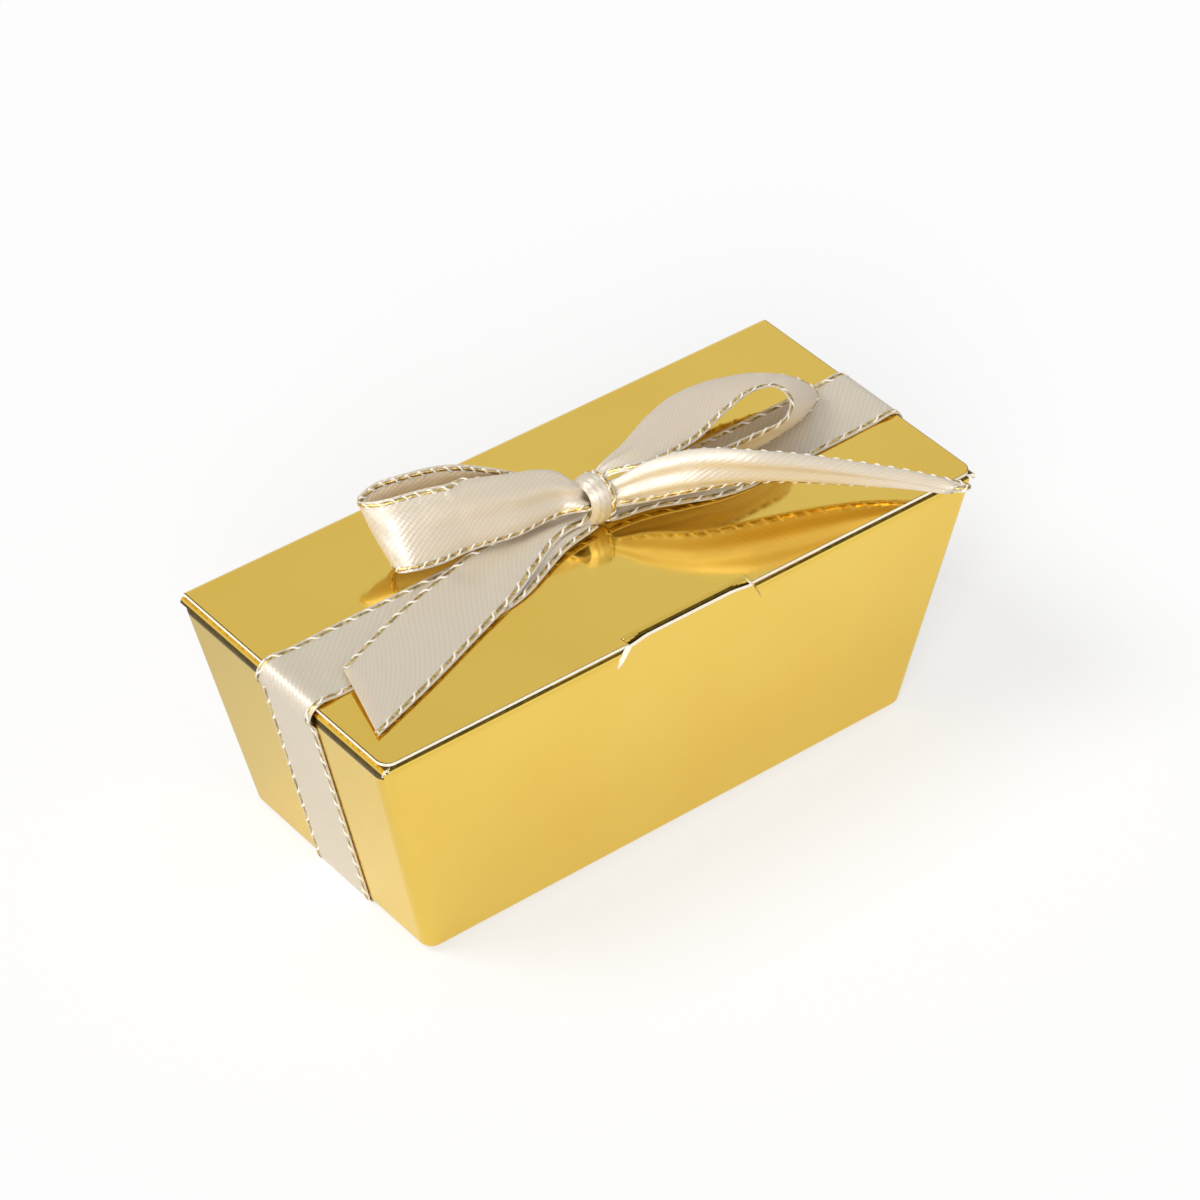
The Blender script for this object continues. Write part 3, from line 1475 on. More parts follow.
@dataclass
class WovenSurface:
    """The middle surface of a length of ribbon, with what is woven into it."""

    middle: np.ndarray
    sizes: RibbonSizes

    def __post_init__(self) -> None:
        """Works out the normals and the lengths along the ribbon."""
        self.normals = grid_normals(self.middle)
        centre = self.middle[:, self.middle.shape[1] // 2]
        self.along = run_along(centre)
        across = np.linalg.norm(np.diff(self.middle, axis=1), axis=2)
        self.across = np.concatenate([np.zeros((len(centre), 1)), np.cumsum(across, axis=1)], axis=1)

    def length(self) -> float:
        """Returns the length of the ribbon along its middle."""
        return float(self.along[-1])

    def draw_strip(self, draft: Draft) -> None:
        """Adds the woven strip.

        Args:
            draft: The draft.
        """
        width = self.sizes.width
        flat = self.across / self.across[:, -1:] * width
        thread = np.stack([np.broadcast_to(self.along[:, None], flat.shape), flat], axis=-1)
        half = self.sizes.thickness / 2
        strip = SheetGrid(self.middle, self.normals, half, half, thread=thread)
        strip.draw(draft, [RibbonPart.SATIN.value], RibbonPart.SATIN.value)

    def edge_lines(self, side: int, inset: float) -> tuple[np.ndarray, np.ndarray, np.ndarray]:
        """Follows the ribbon at a distance from one of its edges.

        Args:
            side: 0 for edge A, 1 for edge B.
            inset: Distance from the edge along the surface.

        Returns:
            Points, normals and the way towards the edge, for each row.
        """
        points, normals, outward = [], [], []
        for row in range(len(self.middle)):
            reach = self.across[row]
            place = inset if side == 0 else reach[-1] - inset
            points.append(read_line(place, reach, self.middle[row]))
            normals.append(read_line(place, reach, self.normals[row]))
            edge, inner = (0, 1) if side == 0 else (-1, -2)
            outward.append(self.middle[row, edge] - self.middle[row, inner])
        return np.array(points), unit(np.array(normals)), unit(np.array(outward))

    def draw_edges(self, draft: Draft, pitch: float, seed: int, edges: Sequence[int] = (0, 1)) -> None:
        """Adds the gold yarn along the edges and the white one that winds round it.

        The white yarn runs at the gold one's sides and crosses quickly from one to the other.

        Args:
            draft: The draft.
            pitch: Length of one full turn.
            seed: Start of the small irregularities.
            edges: Which edges have it.
        """
        chance = np.random.default_rng(seed)
        s = self.sizes
        for edge in edges:
            points, normals, outward = self.edge_lines(edge, s.twist_inset)
            run = run_along(points)
            places = np.arange(0, run[-1], s.twist_row)
            spots, ups, beside = (read_line(places, run, line) for line in (points, normals, outward))
            ways = unit(np.gradient(spots, axis=0))
            ups = unit(ups - ways * np.sum(ups * ways, axis=1, keepdims=True))
            across = np.cross(ups, ways)
            across *= np.sign(np.sum(across * beside))
            marks = max(int(run[-1] / pitch), 2)
            slips = chance.normal(0, s.twist_slip, marks)
            slip = np.interp(places, np.linspace(0, run[-1], marks), slips)
            sizes = chance.uniform(1 - s.yarn_spread, 1 + s.yarn_spread, 2 * marks)
            size = np.interp(places, np.linspace(0, run[-1], 2 * marks), sizes)
            turn = 2 * math.pi * places / pitch + slip
            turn -= s.twist_dwell * np.sin(2 * turn)
            wide = across * (size * s.gold_wide)[:, None]
            thick = ups * s.gold_thick
            self.draw_yarn(draft, spots, wide, thick, RibbonPart.GOLD.value)
            wound = spots + wide * np.cos(turn)[:, None] + thick * np.sin(turn)[:, None]
            self.draw_yarn(draft, wound, across * s.white_wide, ups * s.white_thick, RibbonPart.CORD.value)

    def draw_yarn(self, draft: Draft, points: np.ndarray, across: np.ndarray, up: np.ndarray,
                  slot: int) -> None:
        """Adds one yarn as a tube, pressed flat where it meets the table.

        Args:
            draft: The draft.
            points: Line of the yarn.
            across: Half width at each point.
            up: Half thickness at each point.
            slot: Number of its finish.
        """
        sides = self.sizes.yarn_sides
        turn = 2 * math.pi * np.arange(sides) / sides
        ring = up[:, None] * np.sin(turn)[None, :, None] + across[:, None] * np.cos(turn)[None, :, None]
        tube = points[:, None] + ring
        tube[..., 2] = np.maximum(tube[..., 2], 0.0)
        faces = tube_faces(len(points), sides)
        outside = np.cross(tube[0, 1] - tube[0, 0], tube[1, 0] - tube[0, 0])
        if outside @ ring[0, 0] < 0:
            faces = [face[::-1] for face in faces]
        draft.add(tube.reshape(-1, 3), faces, slot)


# Stations of the bow, from the knot's side: edge A, edge B and how far it cups between them.
LEFT_LOOP = [
    ((0, 1.2, 6), (0, -1.7, 3.3), -0.2),
    ((2.3, 2.7, 7.4), (2.4, 0.1, 2.7), -0.8),
    ((6.3, 4.1, 8), (8, 0.9, 2), -1),
    ((12.5, 6.1, 8.6), (13.3, 2.2, 1.8), -0.8),
    ((16.6, 7.8, 8.4), (17.7, 2.5, 1.7), -0.6),
    ((21.2, 9.9, 7.7), (20.8, 3.5, 1.6), -0.4),
    ((22.1, 11.8, 7.2), (21.9, 4.6, 1.3), -0.3),
    ((19.5, 12.4, 7.8), (20.1, 7.2, 0.9), -0.4),
    ((16.5, 11.4, 8.3), (16.7, 7.8, 0.8), -0.6),
    ((11.3, 9.2, 8.6), (12, 6.6, 0.9), -0.6),
    ((5.7, 5.8, 7.2), (5.3, 4.6, 1.2), -0.4),
    ((1.9, 2.8, 5.6), (1.9, 1.4, 2.5), -0.2),
    ((0, 1.8, 4.5), (0, -0.6, 2.6), 0),
]
RIGHT_LOOP = [
    ((0, 2.2, 4.9), (0, -0.2, 5.3), 0.1),
    ((4.9, 3.4, 5.6), (3.9, -2.4, 6.2), 0.6),
    ((10.3, 6, 5.2), (7.9, -2.2, 6), 1),
    ((15.9, 8, 4.6), (12.5, -1.4, 5.8), 1.2),
    ((21.9, 8.2, 3.9), (17.1, -0.2, 6.4), 1.1),
    ((27.5, 6.5, 3.2), (21.3, 0, 7.4), 0.9),
    ((31.5, 3.4, 2.4), (23.9, -1, 7.5), 0.6),
    ((32.2, 0.8, 1.7), (24.3, -3.1, 6.7), 0.4),
    ((29.7, -0.6, 1.2), (22.3, -4.6, 5.9), 0.5),
    ((23.5, -1.6, 0.9), (17.2, -4.7, 5.9), 0.7),
    ((16.9, -1.8, 0.9), (12.6, -4.5, 5.9), 0.6),
    ((10.1, -1.4, 1.1), (8.3, -3.6, 5.7), 0.4),
    ((4.3, -0.6, 1.5), (3.9, -2, 5), 0.2),
    ((0, 0.1, 1.7), (0, -1, 4.4), 0),
]
LEFT_TAIL = [
    ((0, 1.5, 2.4), (0, -1.7, 1.6), 0),
    ((2.1, 1.9, 1.7), (2, -1.5, 1.5), -0.1),
    ((6.6, 2.7, 1.2), (4.5, -1.9, 1.3), -0.3),
    ((12.7, 2.8, 1.1), (9.5, -4.2, 0.9), -0.4),
    ((17.9, 1.8, 0.9), (13.8, -6.2, 0.6), -0.3),
    ((26.2, -0.4, 0.8), (21.6, -9.1, 0.4), -0.2),
    ((31.9, -2.5, 0.8), (29.9, -12.2, 0.4), -0.2),
    ((36.1, -4.3, 0.9), (39.5, -15.4, 0.4), 0),
]
RIGHT_TAIL = [
    ((0, -1.1, 5.1), (0, -2, 2.2), 0),
    ((3.6, -3.4, 7.3), (3.4, -3.4, 2.2), 0.4),
    ((7.7, -6.2, 8.6), (8.5, -6, 2.8), 0.7),
    ((12.6, -10.4, 8.4), (15.4, -8.8, 2.6), 0.8),
    ((17.1, -13.2, 7.4), (19.7, -11.2, 2), 0.7),
    ((23.4, -16.7, 5.3), (25.6, -15.2, 1.1), 0.5),
    ((29.3, -20.4, 3.2), (30.5, -19.4, 0.8), 0.3),
    ((33.7, -23.8, 1), (34.1, -23.4, 0.6), 0),
]


@dataclass
class TiedRibbon:
    """The ribbon round the box and its bow.

    The points of the bow's loops and tails are in tenths of the ribbon's width: out from the knot's
    side, back from its middle, and up from the lid. The finishes are in the order of RibbonPart.
    """

    sizes: RibbonSizes
    blank: BlankSizes
    finishes: Sequence[bpy.types.Material]

    @property
    def end_x(self) -> float:
        """Where the lid ends along X."""
        return self.blank.top_length / 2 - self.blank.lid_end_inset

    @property
    def stand_x(self) -> float:
        """Where the ribbon's soft bend stands out from the rim."""
        return self.blank.top_length / 2 + self.sizes.stand_off + self.sizes.off

    @property
    def turn_x(self) -> float:
        """Middle of the base fold along X."""
        return self.blank.base_length / 2 - self.blank.base_fold * (1 - self.blank.end_slope)

    @property
    def knot_middle(self) -> np.ndarray:
        """Middle of the knot."""
        s = self.sizes
        return np.array([s.knot_x, s.knot_y, self.blank.lid + s.knot_seat + s.knot_height / 2])

    def station(self, x: float, y: float, z: float, width: float | None = None,
                cup: float = 0.0) -> Station:
        """Returns a station of a run: the ribbon's two edges at a point of its middle."""
        half = (width or self.sizes.width) / 2
        return (x, y + half, z), (x, y - half, z), cup

    def build_base_run(self) -> None:
        """Builds the run under the box."""
        low = self.sizes.cad_thickness / 2
        xs = np.linspace(-self.turn_x, self.turn_x, 5)
        stations = [self.station(x, self.sizes.shift, low) for x in xs]
        RibbonLength(self.sizes, self.finishes, stations, rows=60, seed=11).build(
            "satin_base_run", "ribbon_base_run", "tray", "stretched", ["base_panel"])

    def build_end_run(self, end: int, name: str) -> None:
        """Builds the run down an end wall and round the base fold.

        Args:
            end: -1 for the left end, 1 for the right.
            name: "left" or "right".
        """
        s, b = self.sizes, self.blank

        def wall_x(height: float) -> float:
            """Returns the ribbon's place along X on the end wall."""
            return b.base_length / 2 + height * b.end_slope + s.off

        path = [(self.stand_x, b.rim), (self.stand_x - 0.05, b.rim - 0.4)]
        path += [(wall_x(b.wall - down) + off, b.rim - down) for down, off in s.dent]
        path += [(wall_x(h), b.floor + h) for h in np.linspace(b.wall - 5.0, b.base_fold + 2.0, 6)]
        turn = b.base_fold + s.off
        for step in range(6):
            angle = math.pi / 2 * step / 5
            height = b.floor + b.base_fold - turn * math.sin(angle)
            path.append((self.turn_x + turn * math.cos(angle), height))
        path.sort(key=lambda point: -point[1])
        low, high = s.shift, s.cross_y(end * self.end_x)
        stations = [self.station(end * x, low + (high - low) * max(z, 0) / b.rim, z) for x, z in path]
        RibbonLength(s, self.finishes, stations, rows=90, seed=20 + end).build(
            f"satin_{name}_end_run", f"ribbon_{name}_end_run", "tray", "stretched", [f"{name}_end_panel"])

    def build_top_run(self, end: int, name: str) -> None:
        """Builds the run from the rim over the lid to the knot, where it gathers.

        Args:
            end: -1 for the left run, 1 for the right.
            name: "left" or "right".
        """
        s, b = self.sizes, self.blank
        flat = b.lid + s.off
        across = self.stand_x - self.end_x
        round_bend = [(across - s.bend * (1 - math.cos(a)), s.bend * math.sin(a) - s.bend + s.bend_rise)
                      for a in np.radians((10, 30, 50, 70, 90))]
        bend = [(across, b.rim - flat), *round_bend, *s.settling]
        bend_x = self.end_x + s.settling[-1][0]
        stations = [self.station(end * (self.end_x + x), s.cross_y(end * self.end_x), flat + z)
                    for x, z in bend]
        knot_side = s.knot_length / 2 + s.bow_gap + end * s.knot_x
        for share in (0.25, 0.5, 0.75):
            x = bend_x + (knot_side + s.gather_length - bend_x) * share
            stations.append(self.station(end * x, s.cross_y(end * x), flat))
        for share in (0, 0.25, 0.5, 0.75, 1):
            x = knot_side + s.gather_length * (1 - share)
            drawn = float(gentle(share))
            middle = s.cross_y(end * x)
            y = middle + (s.knot_y + s.gather_shift - middle) * drawn
            width = s.width + (s.pinch - s.width) * drawn
            stations.append(self.station(end * x, y, flat + s.gather_lift * drawn, width, 0.35 * drawn))
        inner = knot_side - s.into_knot
        stations.append(self.station(end * inner, s.knot_y + s.gather_shift, flat + s.gather_lift + 0.15,
                                     s.pinch - 0.3, 0.35))
        run = RibbonLength(s, self.finishes, stations, rows=110, columns=24, folds=3.0, fold_phase=0.4,
                           seed=30 + end)
        run.build(f"satin_{name}_top_run", f"ribbon_{name}_top_run", "lid", "stretched", ["lid_panel"])

    def build_bow_length(self, side: int, part: str, points: Sequence[Station], rows: int, folds: float,
                         phase: float, seed: int, pitch: float, curls: Sequence[Curl] = ()) -> None:
        """Builds a loop, which goes into the knot at both ends, or a tail, which starts in it.

        Args:
            side: -1 for the left of the knot, 1 for its right.
            part: "loop" or "tail".
            points: Stations, measured from the knot.
            rows: Number of rows along it.
            folds: Lengthwise folds where it is gathered.
            phase: Shift of those folds across the ribbon.
            seed: Start of the small irregularities.
            pitch: Length of one twist of the edge yarns.
            curls: Stretches of the edges that curl over.
        """
        s = self.sizes
        unit_length = s.width / 10
        knot_side = np.array([s.knot_x + side * (s.knot_length / 2 + s.bow_gap), s.knot_y, self.blank.lid])
        turned = np.array([side, 1, 1]) * unit_length
        stations = [(tuple(knot_side + turned * a), tuple(knot_side + turned * b), cup * unit_length)
                    for a, b, cup in points]
        middle = self.knot_middle
        for end in (0, -1) if part == "loop" else (0,):
            a, b = (np.array(edge) for edge in stations[end][:2])
            way = middle - (a + b) / 2
            way = way / np.linalg.norm(way) * (s.into_knot + s.bow_gap)
            inner = (tuple(a + way + (middle - a) * 0.12), tuple(b + way + (middle - b) * 0.12), 0.0)
            stations = [inner, *stations] if end == 0 else [*stations, inner]
        name = f"{'left' if side < 0 else 'right'}_{part}"
        RibbonLength(s, self.finishes, stations, rows, 28, folds, phase, pitch, seed, curls).build(
            f"satin_{name}", f"bow_{name}", "lid", "gathered", ["bow_knot"])

    def build_bow(self) -> None:
        """Builds the two loops and the two tails."""
        self.build_bow_length(-1, "loop", LEFT_LOOP, rows=170, folds=2.0, phase=0.6, seed=41, pitch=1.5,
                              curls=[Curl(0, 0, 0.31, 220)])
        self.build_bow_length(1, "loop", RIGHT_LOOP, rows=190, folds=2.5, phase=0.2, seed=42, pitch=1.9,
                              curls=[Curl(0, 0, 0.44, -200)])
        self.build_bow_length(-1, "tail", LEFT_TAIL, rows=100, folds=1.0, phase=0.0, seed=43, pitch=2.65)
        self.build_bow_length(1, "tail", RIGHT_TAIL, rows=110, folds=2.0, phase=0.5, seed=44, pitch=1.7,
                              curls=[Curl(0, 0, 1, -220)])

    def build_knot(self) -> None:
        """Builds the knot: the ribbon, folded in three lengthwise, goes once round the gathered bow."""
        s = self.sizes
        top = s.knot_length / 2
        section = [
            (0.74, 0.0), (0.2, 0.06), (-0.45, 0.04), (-0.8, -0.06),
            (-0.98, -0.3), (-0.9, -0.55), (-0.4, -0.6), (0.3, -0.42),
            (0.75, -0.4), (0.98, -0.6), (0.9, -0.86), (0.3, -0.95),
            (-0.5, -1.0),
        ]
        places = np.linspace(0, len(section) - 1, 49)
        section_line = smooth_line(np.array([(x * top, r, 0.0) for x, r in section]), places)
        turns = np.linspace(0, 2 * math.pi, 97)
        middle = self.knot_middle
        rows = []
        for turn in turns:
            x = s.knot_x + section_line[:, 0] + s.knot_slide * math.sin(turn - s.knot_slide_turn)
            shrink = 1 - s.knot_shrink * np.clip(np.abs(section_line[:, 0]) / top, 0, 1) ** 2.2
            crease = s.knot_crease * np.sin(9 * section_line[:, 0] + 1.2 * math.sin(2 * turn))
            deep = (s.knot_depth / 2 + crease) * shrink + section_line[:, 1]
            tall = (s.knot_height / 2 + crease) * shrink + section_line[:, 1]
            y = middle[1] + deep * math.cos(turn)
            z = middle[2] + tall * math.sin(turn)
            rows.append(np.stack([x, y, z], axis=-1))
        surface = WovenSurface(np.array(rows), s)
        draft = Draft("satin_knot", self.finishes)
        surface.draw_strip(draft)
        surface.draw_edges(draft, pitch=1.5, seed=51, edges=(0,))
        made = draft.make()
        dress(made, "bow_knot", "lid")

    def build(self) -> None:
        """Builds every length of the ribbon."""
        self.build_base_run()
        for end, name in ((-1, "left"), (1, "right")):
            self.build_end_run(end, name)
            self.build_top_run(end, name)
        self.build_knot()
        self.build_bow()


# Contents


@dataclass
class Contents:
    """Two chocolates in pleated paper cups. They are hidden while the lid is closed."""

    paper: bpy.types.Material
    milk: bpy.types.Material
    dark: bpy.types.Material
    flutes: int = 24
    flute_depth: float = 0.9
    paper_thickness: float = 0.12
    cup_height: float = 12.0
    flare: float = 0.25
    flute_points: int = 12
    flute_power: float = 0.8
    foot_flute: float = 0.12
    dome_waist: float = 0.22
    dome_tip: float = 0.012
    swirl_depth: float = 0.012
    squareness: float = 5.0
    ridge_width: float = 1.8
    ridge_spacing: float = 5.1
    ridge_seat: float = 0.375
    ridge_reach: float = 0.78

    def add_rings(self, draft: Draft, rings: np.ndarray) -> None:
        """Adds a surface of rings (rings by points by 3), closed at both ends with a flat face."""
        draft.add(rings.reshape(-1, 3), tube_faces(*rings.shape[:2]), 0)

    @staticmethod
    def ring(centre: Vector, radius: np.ndarray, turns: np.ndarray, height: float) -> np.ndarray:
        """Returns a level ring of points, from the radius and the angle of each."""
        x, y = centre.x + radius * np.cos(turns), centre.y + radius * np.sin(turns)
        return np.stack([x, y, np.full(len(turns), height)], axis=-1)

    def place(self, draft: Draft, node: str, slot: str) -> None:
        """Makes a draft's piece and puts it on the tray.

        Args:
            draft: The draft.
            node: CAD node that it stands for.
            slot: Material slot of the record.
        """
        made = draft.make()
        dress(made, node, "tray")
        LOG.info("%s: %d faces", draft.name, len(made.data.polygons))

    def build_cup(self, side: str) -> None:
        """Builds one pleated cup.

        Args:
            side: "left" or "right".
        """
        low, high = (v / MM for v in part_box(f"{side}_paper_cup"))
        centre = (low + high) / 2
        mouth = (high.y - low.y) / 2 - self.flute_depth / 2
        foot = mouth - self.cup_height * self.flare
        count = self.flutes * self.flute_points
        turns = 2 * math.pi * np.arange(count) / count
        wave = np.cos(self.flutes * turns)
        wave = np.sign(wave) * np.abs(wave) ** self.flute_power
        rings = []
        heights = np.linspace(0, 1, 15)
        for share in heights:
            fluted = self.flute_depth / 2 * wave * min(1.0, self.foot_flute + share)
            radius = foot + (mouth - foot) * share + fluted
            rings.append((radius, high.z - (high.z - low.z) * (1 - share)))
        inside = [(radius - self.paper_thickness, z if z > low.z else low.z + self.paper_thickness)
                  for radius, z in rings[::-1]]
        points = [self.ring(centre, radius, turns, z) for radius, z in (*rings, *inside)]
        draft = Draft(f"pleated_{side}_cup", [self.paper])
        self.add_rings(draft, np.array(points))
        self.place(draft, f"{side}_paper_cup", "cup_paper")

    def build_dome(self) -> None:
        """Builds the domed chocolate, with a shallow swirl from its foot to its top."""
        low, high = (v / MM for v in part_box("left_praline"))
        centre = (low + high) / 2
        radius = (high.y - low.y) / 2
        height = high.z - low.z
        waist = self.dome_waist
        turns = 2 * math.pi * np.arange(96) / 96
        profile = [(0.02, 0.0), (0.86, 0.0), (0.93, 0.03), (0.975, 0.09), (0.995, 0.16)]
        profile += [(max(math.cos(a), self.dome_tip), waist + (1 - waist) * math.sin(a))
                    for a in np.linspace(0, math.pi / 2, 26)]
        rings = []
        for reach, share in profile:
            swell = self.swirl_depth * math.sin(math.pi * min(share, 1.0))
            swirl = swell * np.sin(6 * turns + 5.0 * share)
            spoke = radius * reach * (1 - self.swirl_depth + swirl)
            rings.append(self.ring(centre, spoke, turns, low.z + height * share))
        draft = Draft("milk_chocolate_dome", [self.milk])
        self.add_rings(draft, np.array(rings))
        self.place(draft, "left_praline", "chocolate")

    def build_square(self) -> None:
        """Builds the square chocolate with three piped ridges across its top."""
        low, high = (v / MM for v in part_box("right_praline"))
        centre = (low + high) / 2
        half = (high.x - low.x) / 2
        top = high.z - self.ridge_width * self.ridge_seat
        turns = 2 * math.pi * np.arange(120) / 120
        power = self.squareness
        rounding = (np.abs(np.cos(turns)) ** power + np.abs(np.sin(turns)) ** power) ** (1 / power)
        levels = [(0.05, 0.0), (0.80, 0.0), (0.87, 0.006), (0.93, 0.03), (0.975, 0.08), (0.995, 0.15),
                  (1.0, 0.24), (1.0, 0.5), (1.0, 0.76), (0.993, 0.85), (0.97, 0.92), (0.925, 0.967),
                  (0.86, 0.992), (0.8, 1.0), (0.5, 1.0), (0.2, 1.0), (0.02, 1.0)]
        rings = []
        for reach, share in levels:
            rings.append(self.ring(centre, half * reach / rounding, turns, low.z + (top - low.z) * share))
        draft = Draft("dark_chocolate_square", [self.dark])
        self.add_rings(draft, np.array(rings))
        for index in (-1, 0, 1):
            offset = index * self.ridge_spacing / math.sqrt(2)
            self.add_ridge(draft, np.array([centre.x + offset, centre.y - offset, top]), half)
        self.place(draft, "right_praline", "chocolate")

    def add_ridge(self, draft: Draft, middle: np.ndarray, half: float) -> None:
        """Adds one piped ridge, thicker in its middle.

        Args:
            draft: The draft.
            middle: Middle of the ridge, on the chocolate's top face.
            half: Half width of the chocolate.
        """
        turns = 2 * math.pi * np.arange(20) / 20
        way = np.array([math.sqrt(0.5), math.sqrt(0.5), 0.0])
        side = np.array([way[1], -way[0], 0.0])
        up = np.array([0.0, 0.0, 1.0])
        length = half * self.ridge_reach
        rings = []
        for share in np.sin(np.linspace(-math.pi / 2, math.pi / 2, 27)):
            blunt = math.sqrt(max(1 - share ** 6, 0.0004))
            radius = self.ridge_width / 2 * blunt * (1 + 0.05 * math.sin(9 * share))
            ring = np.cos(turns)[:, None] * up + np.sin(turns)[:, None] * side
            rings.append(middle + way * share * length + radius * ring)
        self.add_rings(draft, np.array(rings))

    def build(self) -> None:
        """Builds both cups and both chocolates."""
        for side in ("left", "right"):
            self.build_cup(side)
        self.build_dome()
        self.build_square()


# Studio


@dataclass
class Studio:
    """A pale floor, a soft sky, a sun from behind, a softbox in front, and the photo's camera."""

    azimuth: float = -39.17
    elevation: float = 39.2577
    roll: float = 0.7901
    distance: float = 560.38
    aim_right: float = 2.0552
    aim_up: float = 17.5427
    lens: float = 143.606
    sensor: float = 36.0
    floor_size: float = 6000.0
    floor_colour: Colour = (0.97, 0.97, 0.97)
    seen_floor: Colour = (0.40, 0.40, 0.40)
    seen_glow: float = 0.565
    mirrored_glow: tuple[float, float] = (0.56, 0.25)
    mirrored_from: tuple[float, float] = (-30.0, 45.0)
    sky_diffuse: float = 0.455
    sky_bands: tuple[tuple[float, float], ...] = ((0.0, 0.92), (0.35, 0.86), (0.63, 0.78), (1.0, 0.55))
    sun_from: tuple[float, float, float] = (-0.55, 0.3, 0.8)
    sun_strength: float = 1.2
    sun_angle: float = math.radians(26)
    softbox_from: tuple[float, float, float] = (-0.6, -0.6, 0.53)
    softbox_strength: float = 1.75
    softbox_angle: float = math.radians(30)

    def build(self) -> None:
        """Builds the floor, the sky, the two lamps and the camera."""
        self.build_floor()
        self.build_sky()
        self.build_lamp("sun", self.sun_from, self.sun_strength, self.sun_angle)
        self.build_lamp("softbox", self.softbox_from, self.softbox_strength, self.softbox_angle)
        self.build_camera()
        bpy.context.scene.view_settings.view_transform = "Standard"

    def build_floor(self) -> None:
        """Lays the floor just under the box.

        Soft light meets plain pale paper. The camera and the foil see it lit from within as well, so
        that the paper is white and the shadow on it stays faint.
        """
        half = self.floor_size / 2 * MM
        mesh = bpy.data.meshes.new("floor")
        corners = [(-half, -half, 0), (half, -half, 0), (half, half, 0), (-half, half, 0)]
        mesh.from_pydata(corners, [], [(0, 1, 2, 3)])
        floor = bpy.data.objects.new("floor", mesh)
        floor.location.z = -0.02 * MM
        bpy.context.scene.collection.objects.link(floor)
        tree = ShaderTree("floor_paper")
        path = tree.add("ShaderNodeLightPath", {}).outputs
        back = tree.add("ShaderNodeSeparateXYZ", {"Vector": tree.place()}).outputs["Y"]
        start, stop = (value * MM for value in self.mirrored_from)
        mirrored = tree.spread(back, *self.mirrored_glow, start, stop)
        seen = tree.spread(path["Is Diffuse Ray"], self.seen_glow, 0.0, 0.0, 1.0)
        tree.feed(tree.surface, {
            "Base Color": tree.blend(path["Is Diffuse Ray"], self.seen_floor, self.floor_colour),
            "Roughness": 0.9,
            "Specular IOR Level": 0.0,
            "Emission Color": (1, 1, 1, 1),
            "Emission Strength": tree.spread(path["Is Glossy Ray"], seen, mirrored, 0.0, 1.0),
        })
        tree.material.cycles.emission_sampling = "NONE"
        mesh.materials.append(tree.material)

    def build_sky(self) -> None:
        """Makes the sky: white to the camera, soft bands in reflections, plain for soft light."""
        world = bpy.data.worlds.new("studio_sky")
        bpy.context.scene.world = world
        world.use_nodes = True
        nodes, links = world.node_tree.nodes, world.node_tree.links
        nodes.clear()
        place = nodes.new("ShaderNodeTexCoord")
        split = nodes.new("ShaderNodeSeparateXYZ")
        links.new(place.outputs["Generated"], split.inputs["Vector"])
        ramp = nodes.new("ShaderNodeValToRGB")
        links.new(split.outputs["Z"], ramp.inputs["Fac"])
        stops = ramp.color_ramp.elements
        for index, (height, level) in enumerate(self.sky_bands):
            stop = stops[index] if index < 2 else stops.new(height)
            stop.position = height
            stop.color = (level, level, level, 1)
        path = nodes.new("ShaderNodeLightPath")
        plain = nodes.new("ShaderNodeMix")
        plain.data_type = "RGBA"
        links.new(path.outputs["Is Glossy Ray"], plain.inputs[0])
        plain.inputs[6].default_value = (self.sky_diffuse, self.sky_diffuse, self.sky_diffuse, 1)
        links.new(ramp.outputs["Color"], plain.inputs[7])
        seen = nodes.new("ShaderNodeMix")
        seen.data_type = "RGBA"
        links.new(path.outputs["Is Camera Ray"], seen.inputs[0])
        links.new(plain.outputs[2], seen.inputs[6])
        seen.inputs[7].default_value = (1, 1, 1, 1)
        sky = nodes.new("ShaderNodeBackground")
        links.new(seen.outputs[2], sky.inputs["Color"])
        out = nodes.new("ShaderNodeOutputWorld")
        links.new(sky.outputs["Background"], out.inputs["Surface"])

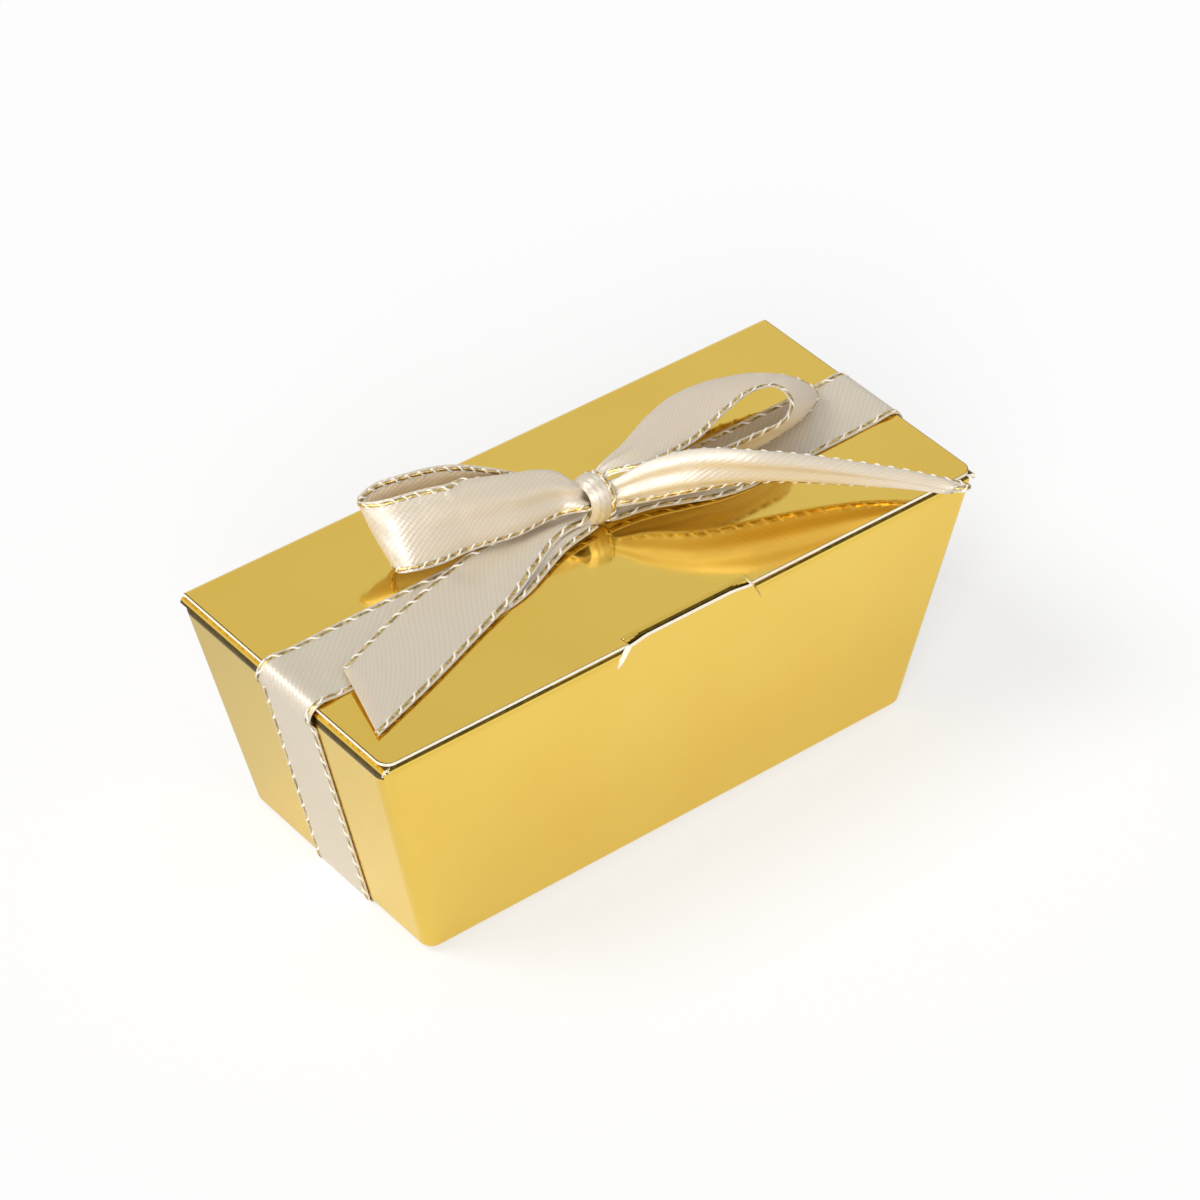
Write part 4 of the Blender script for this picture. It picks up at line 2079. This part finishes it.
    def build_lamp(self, name: str, place: Sequence[float], strength: float, angle: float) -> None:
        """Makes a wide, far lamp.

        Args:
            name: Name of the lamp.
            place: The way towards it.
            strength: Its strength.
            angle: How wide it looks, in radians.
        """
        light = bpy.data.lights.new(name, "SUN")
        light.energy = strength
        light.angle = angle
        lamp = bpy.data.objects.new(name, light)
        lamp.rotation_mode = "QUATERNION"
        lamp.rotation_quaternion = Vector(place).to_track_quat("Z", "Y")
        bpy.context.scene.collection.objects.link(lamp)

    def build_camera(self) -> None:
        """Puts the camera where the photo was taken from."""
        a, e, r = (math.radians(x) for x in (self.azimuth, self.elevation, self.roll))
        back = Vector((math.sin(a) * math.cos(e), -math.cos(a) * math.cos(e), math.sin(e)))
        level = Vector((0, 0, 1)).cross(back).normalized()
        rise = back.cross(level)
        right = level * math.cos(r) + rise * math.sin(r)
        up = rise * math.cos(r) - level * math.sin(r)
        place = back * self.distance + right * self.aim_right + up * self.aim_up
        lens = bpy.data.cameras.new("camera")
        lens.lens = self.lens
        lens.sensor_width = self.sensor
        lens.clip_start = 0.05
        camera = bpy.data.objects.new("camera", lens)
        turn = Matrix((right, up, back)).transposed().to_4x4()
        camera.matrix_world = Matrix.Translation(place * MM) @ turn
        bpy.context.scene.collection.objects.link(camera)
        bpy.context.scene.camera = camera


def main() -> None:
    """Builds the studio and the pieces in order, and reports each piece."""
    logging.basicConfig(level=logging.INFO, format="%(message)s")
    Studio().build()
    blank = BlankSizes()
    stretched = CreasedFoilFinish("stretched_foil", (0.56, 0.29, 0.015), (0.66, 0.36, 0.03))
    FoldedBlank(blank, FoilFinish().make(), BoardFinish().make(), CreasedFoilFinish().make(),
                stretched.make()).build()
    woven = [SatinFinish().make(), GoldThreadFinish().make(), CordFinish().make()]
    TiedRibbon(RibbonSizes(), blank, woven).build()
    milk = ChocolateFinish("milk_chocolate", (0.13, 0.052, 0.022), (0.17, 0.07, 0.03)).make()
    dark = ChocolateFinish("dark_chocolate", (0.030, 0.012, 0.007), (0.048, 0.019, 0.010)).make()
    Contents(PaperFinish().make(), milk, dark).build()


if __name__ == "__main__":
    main()
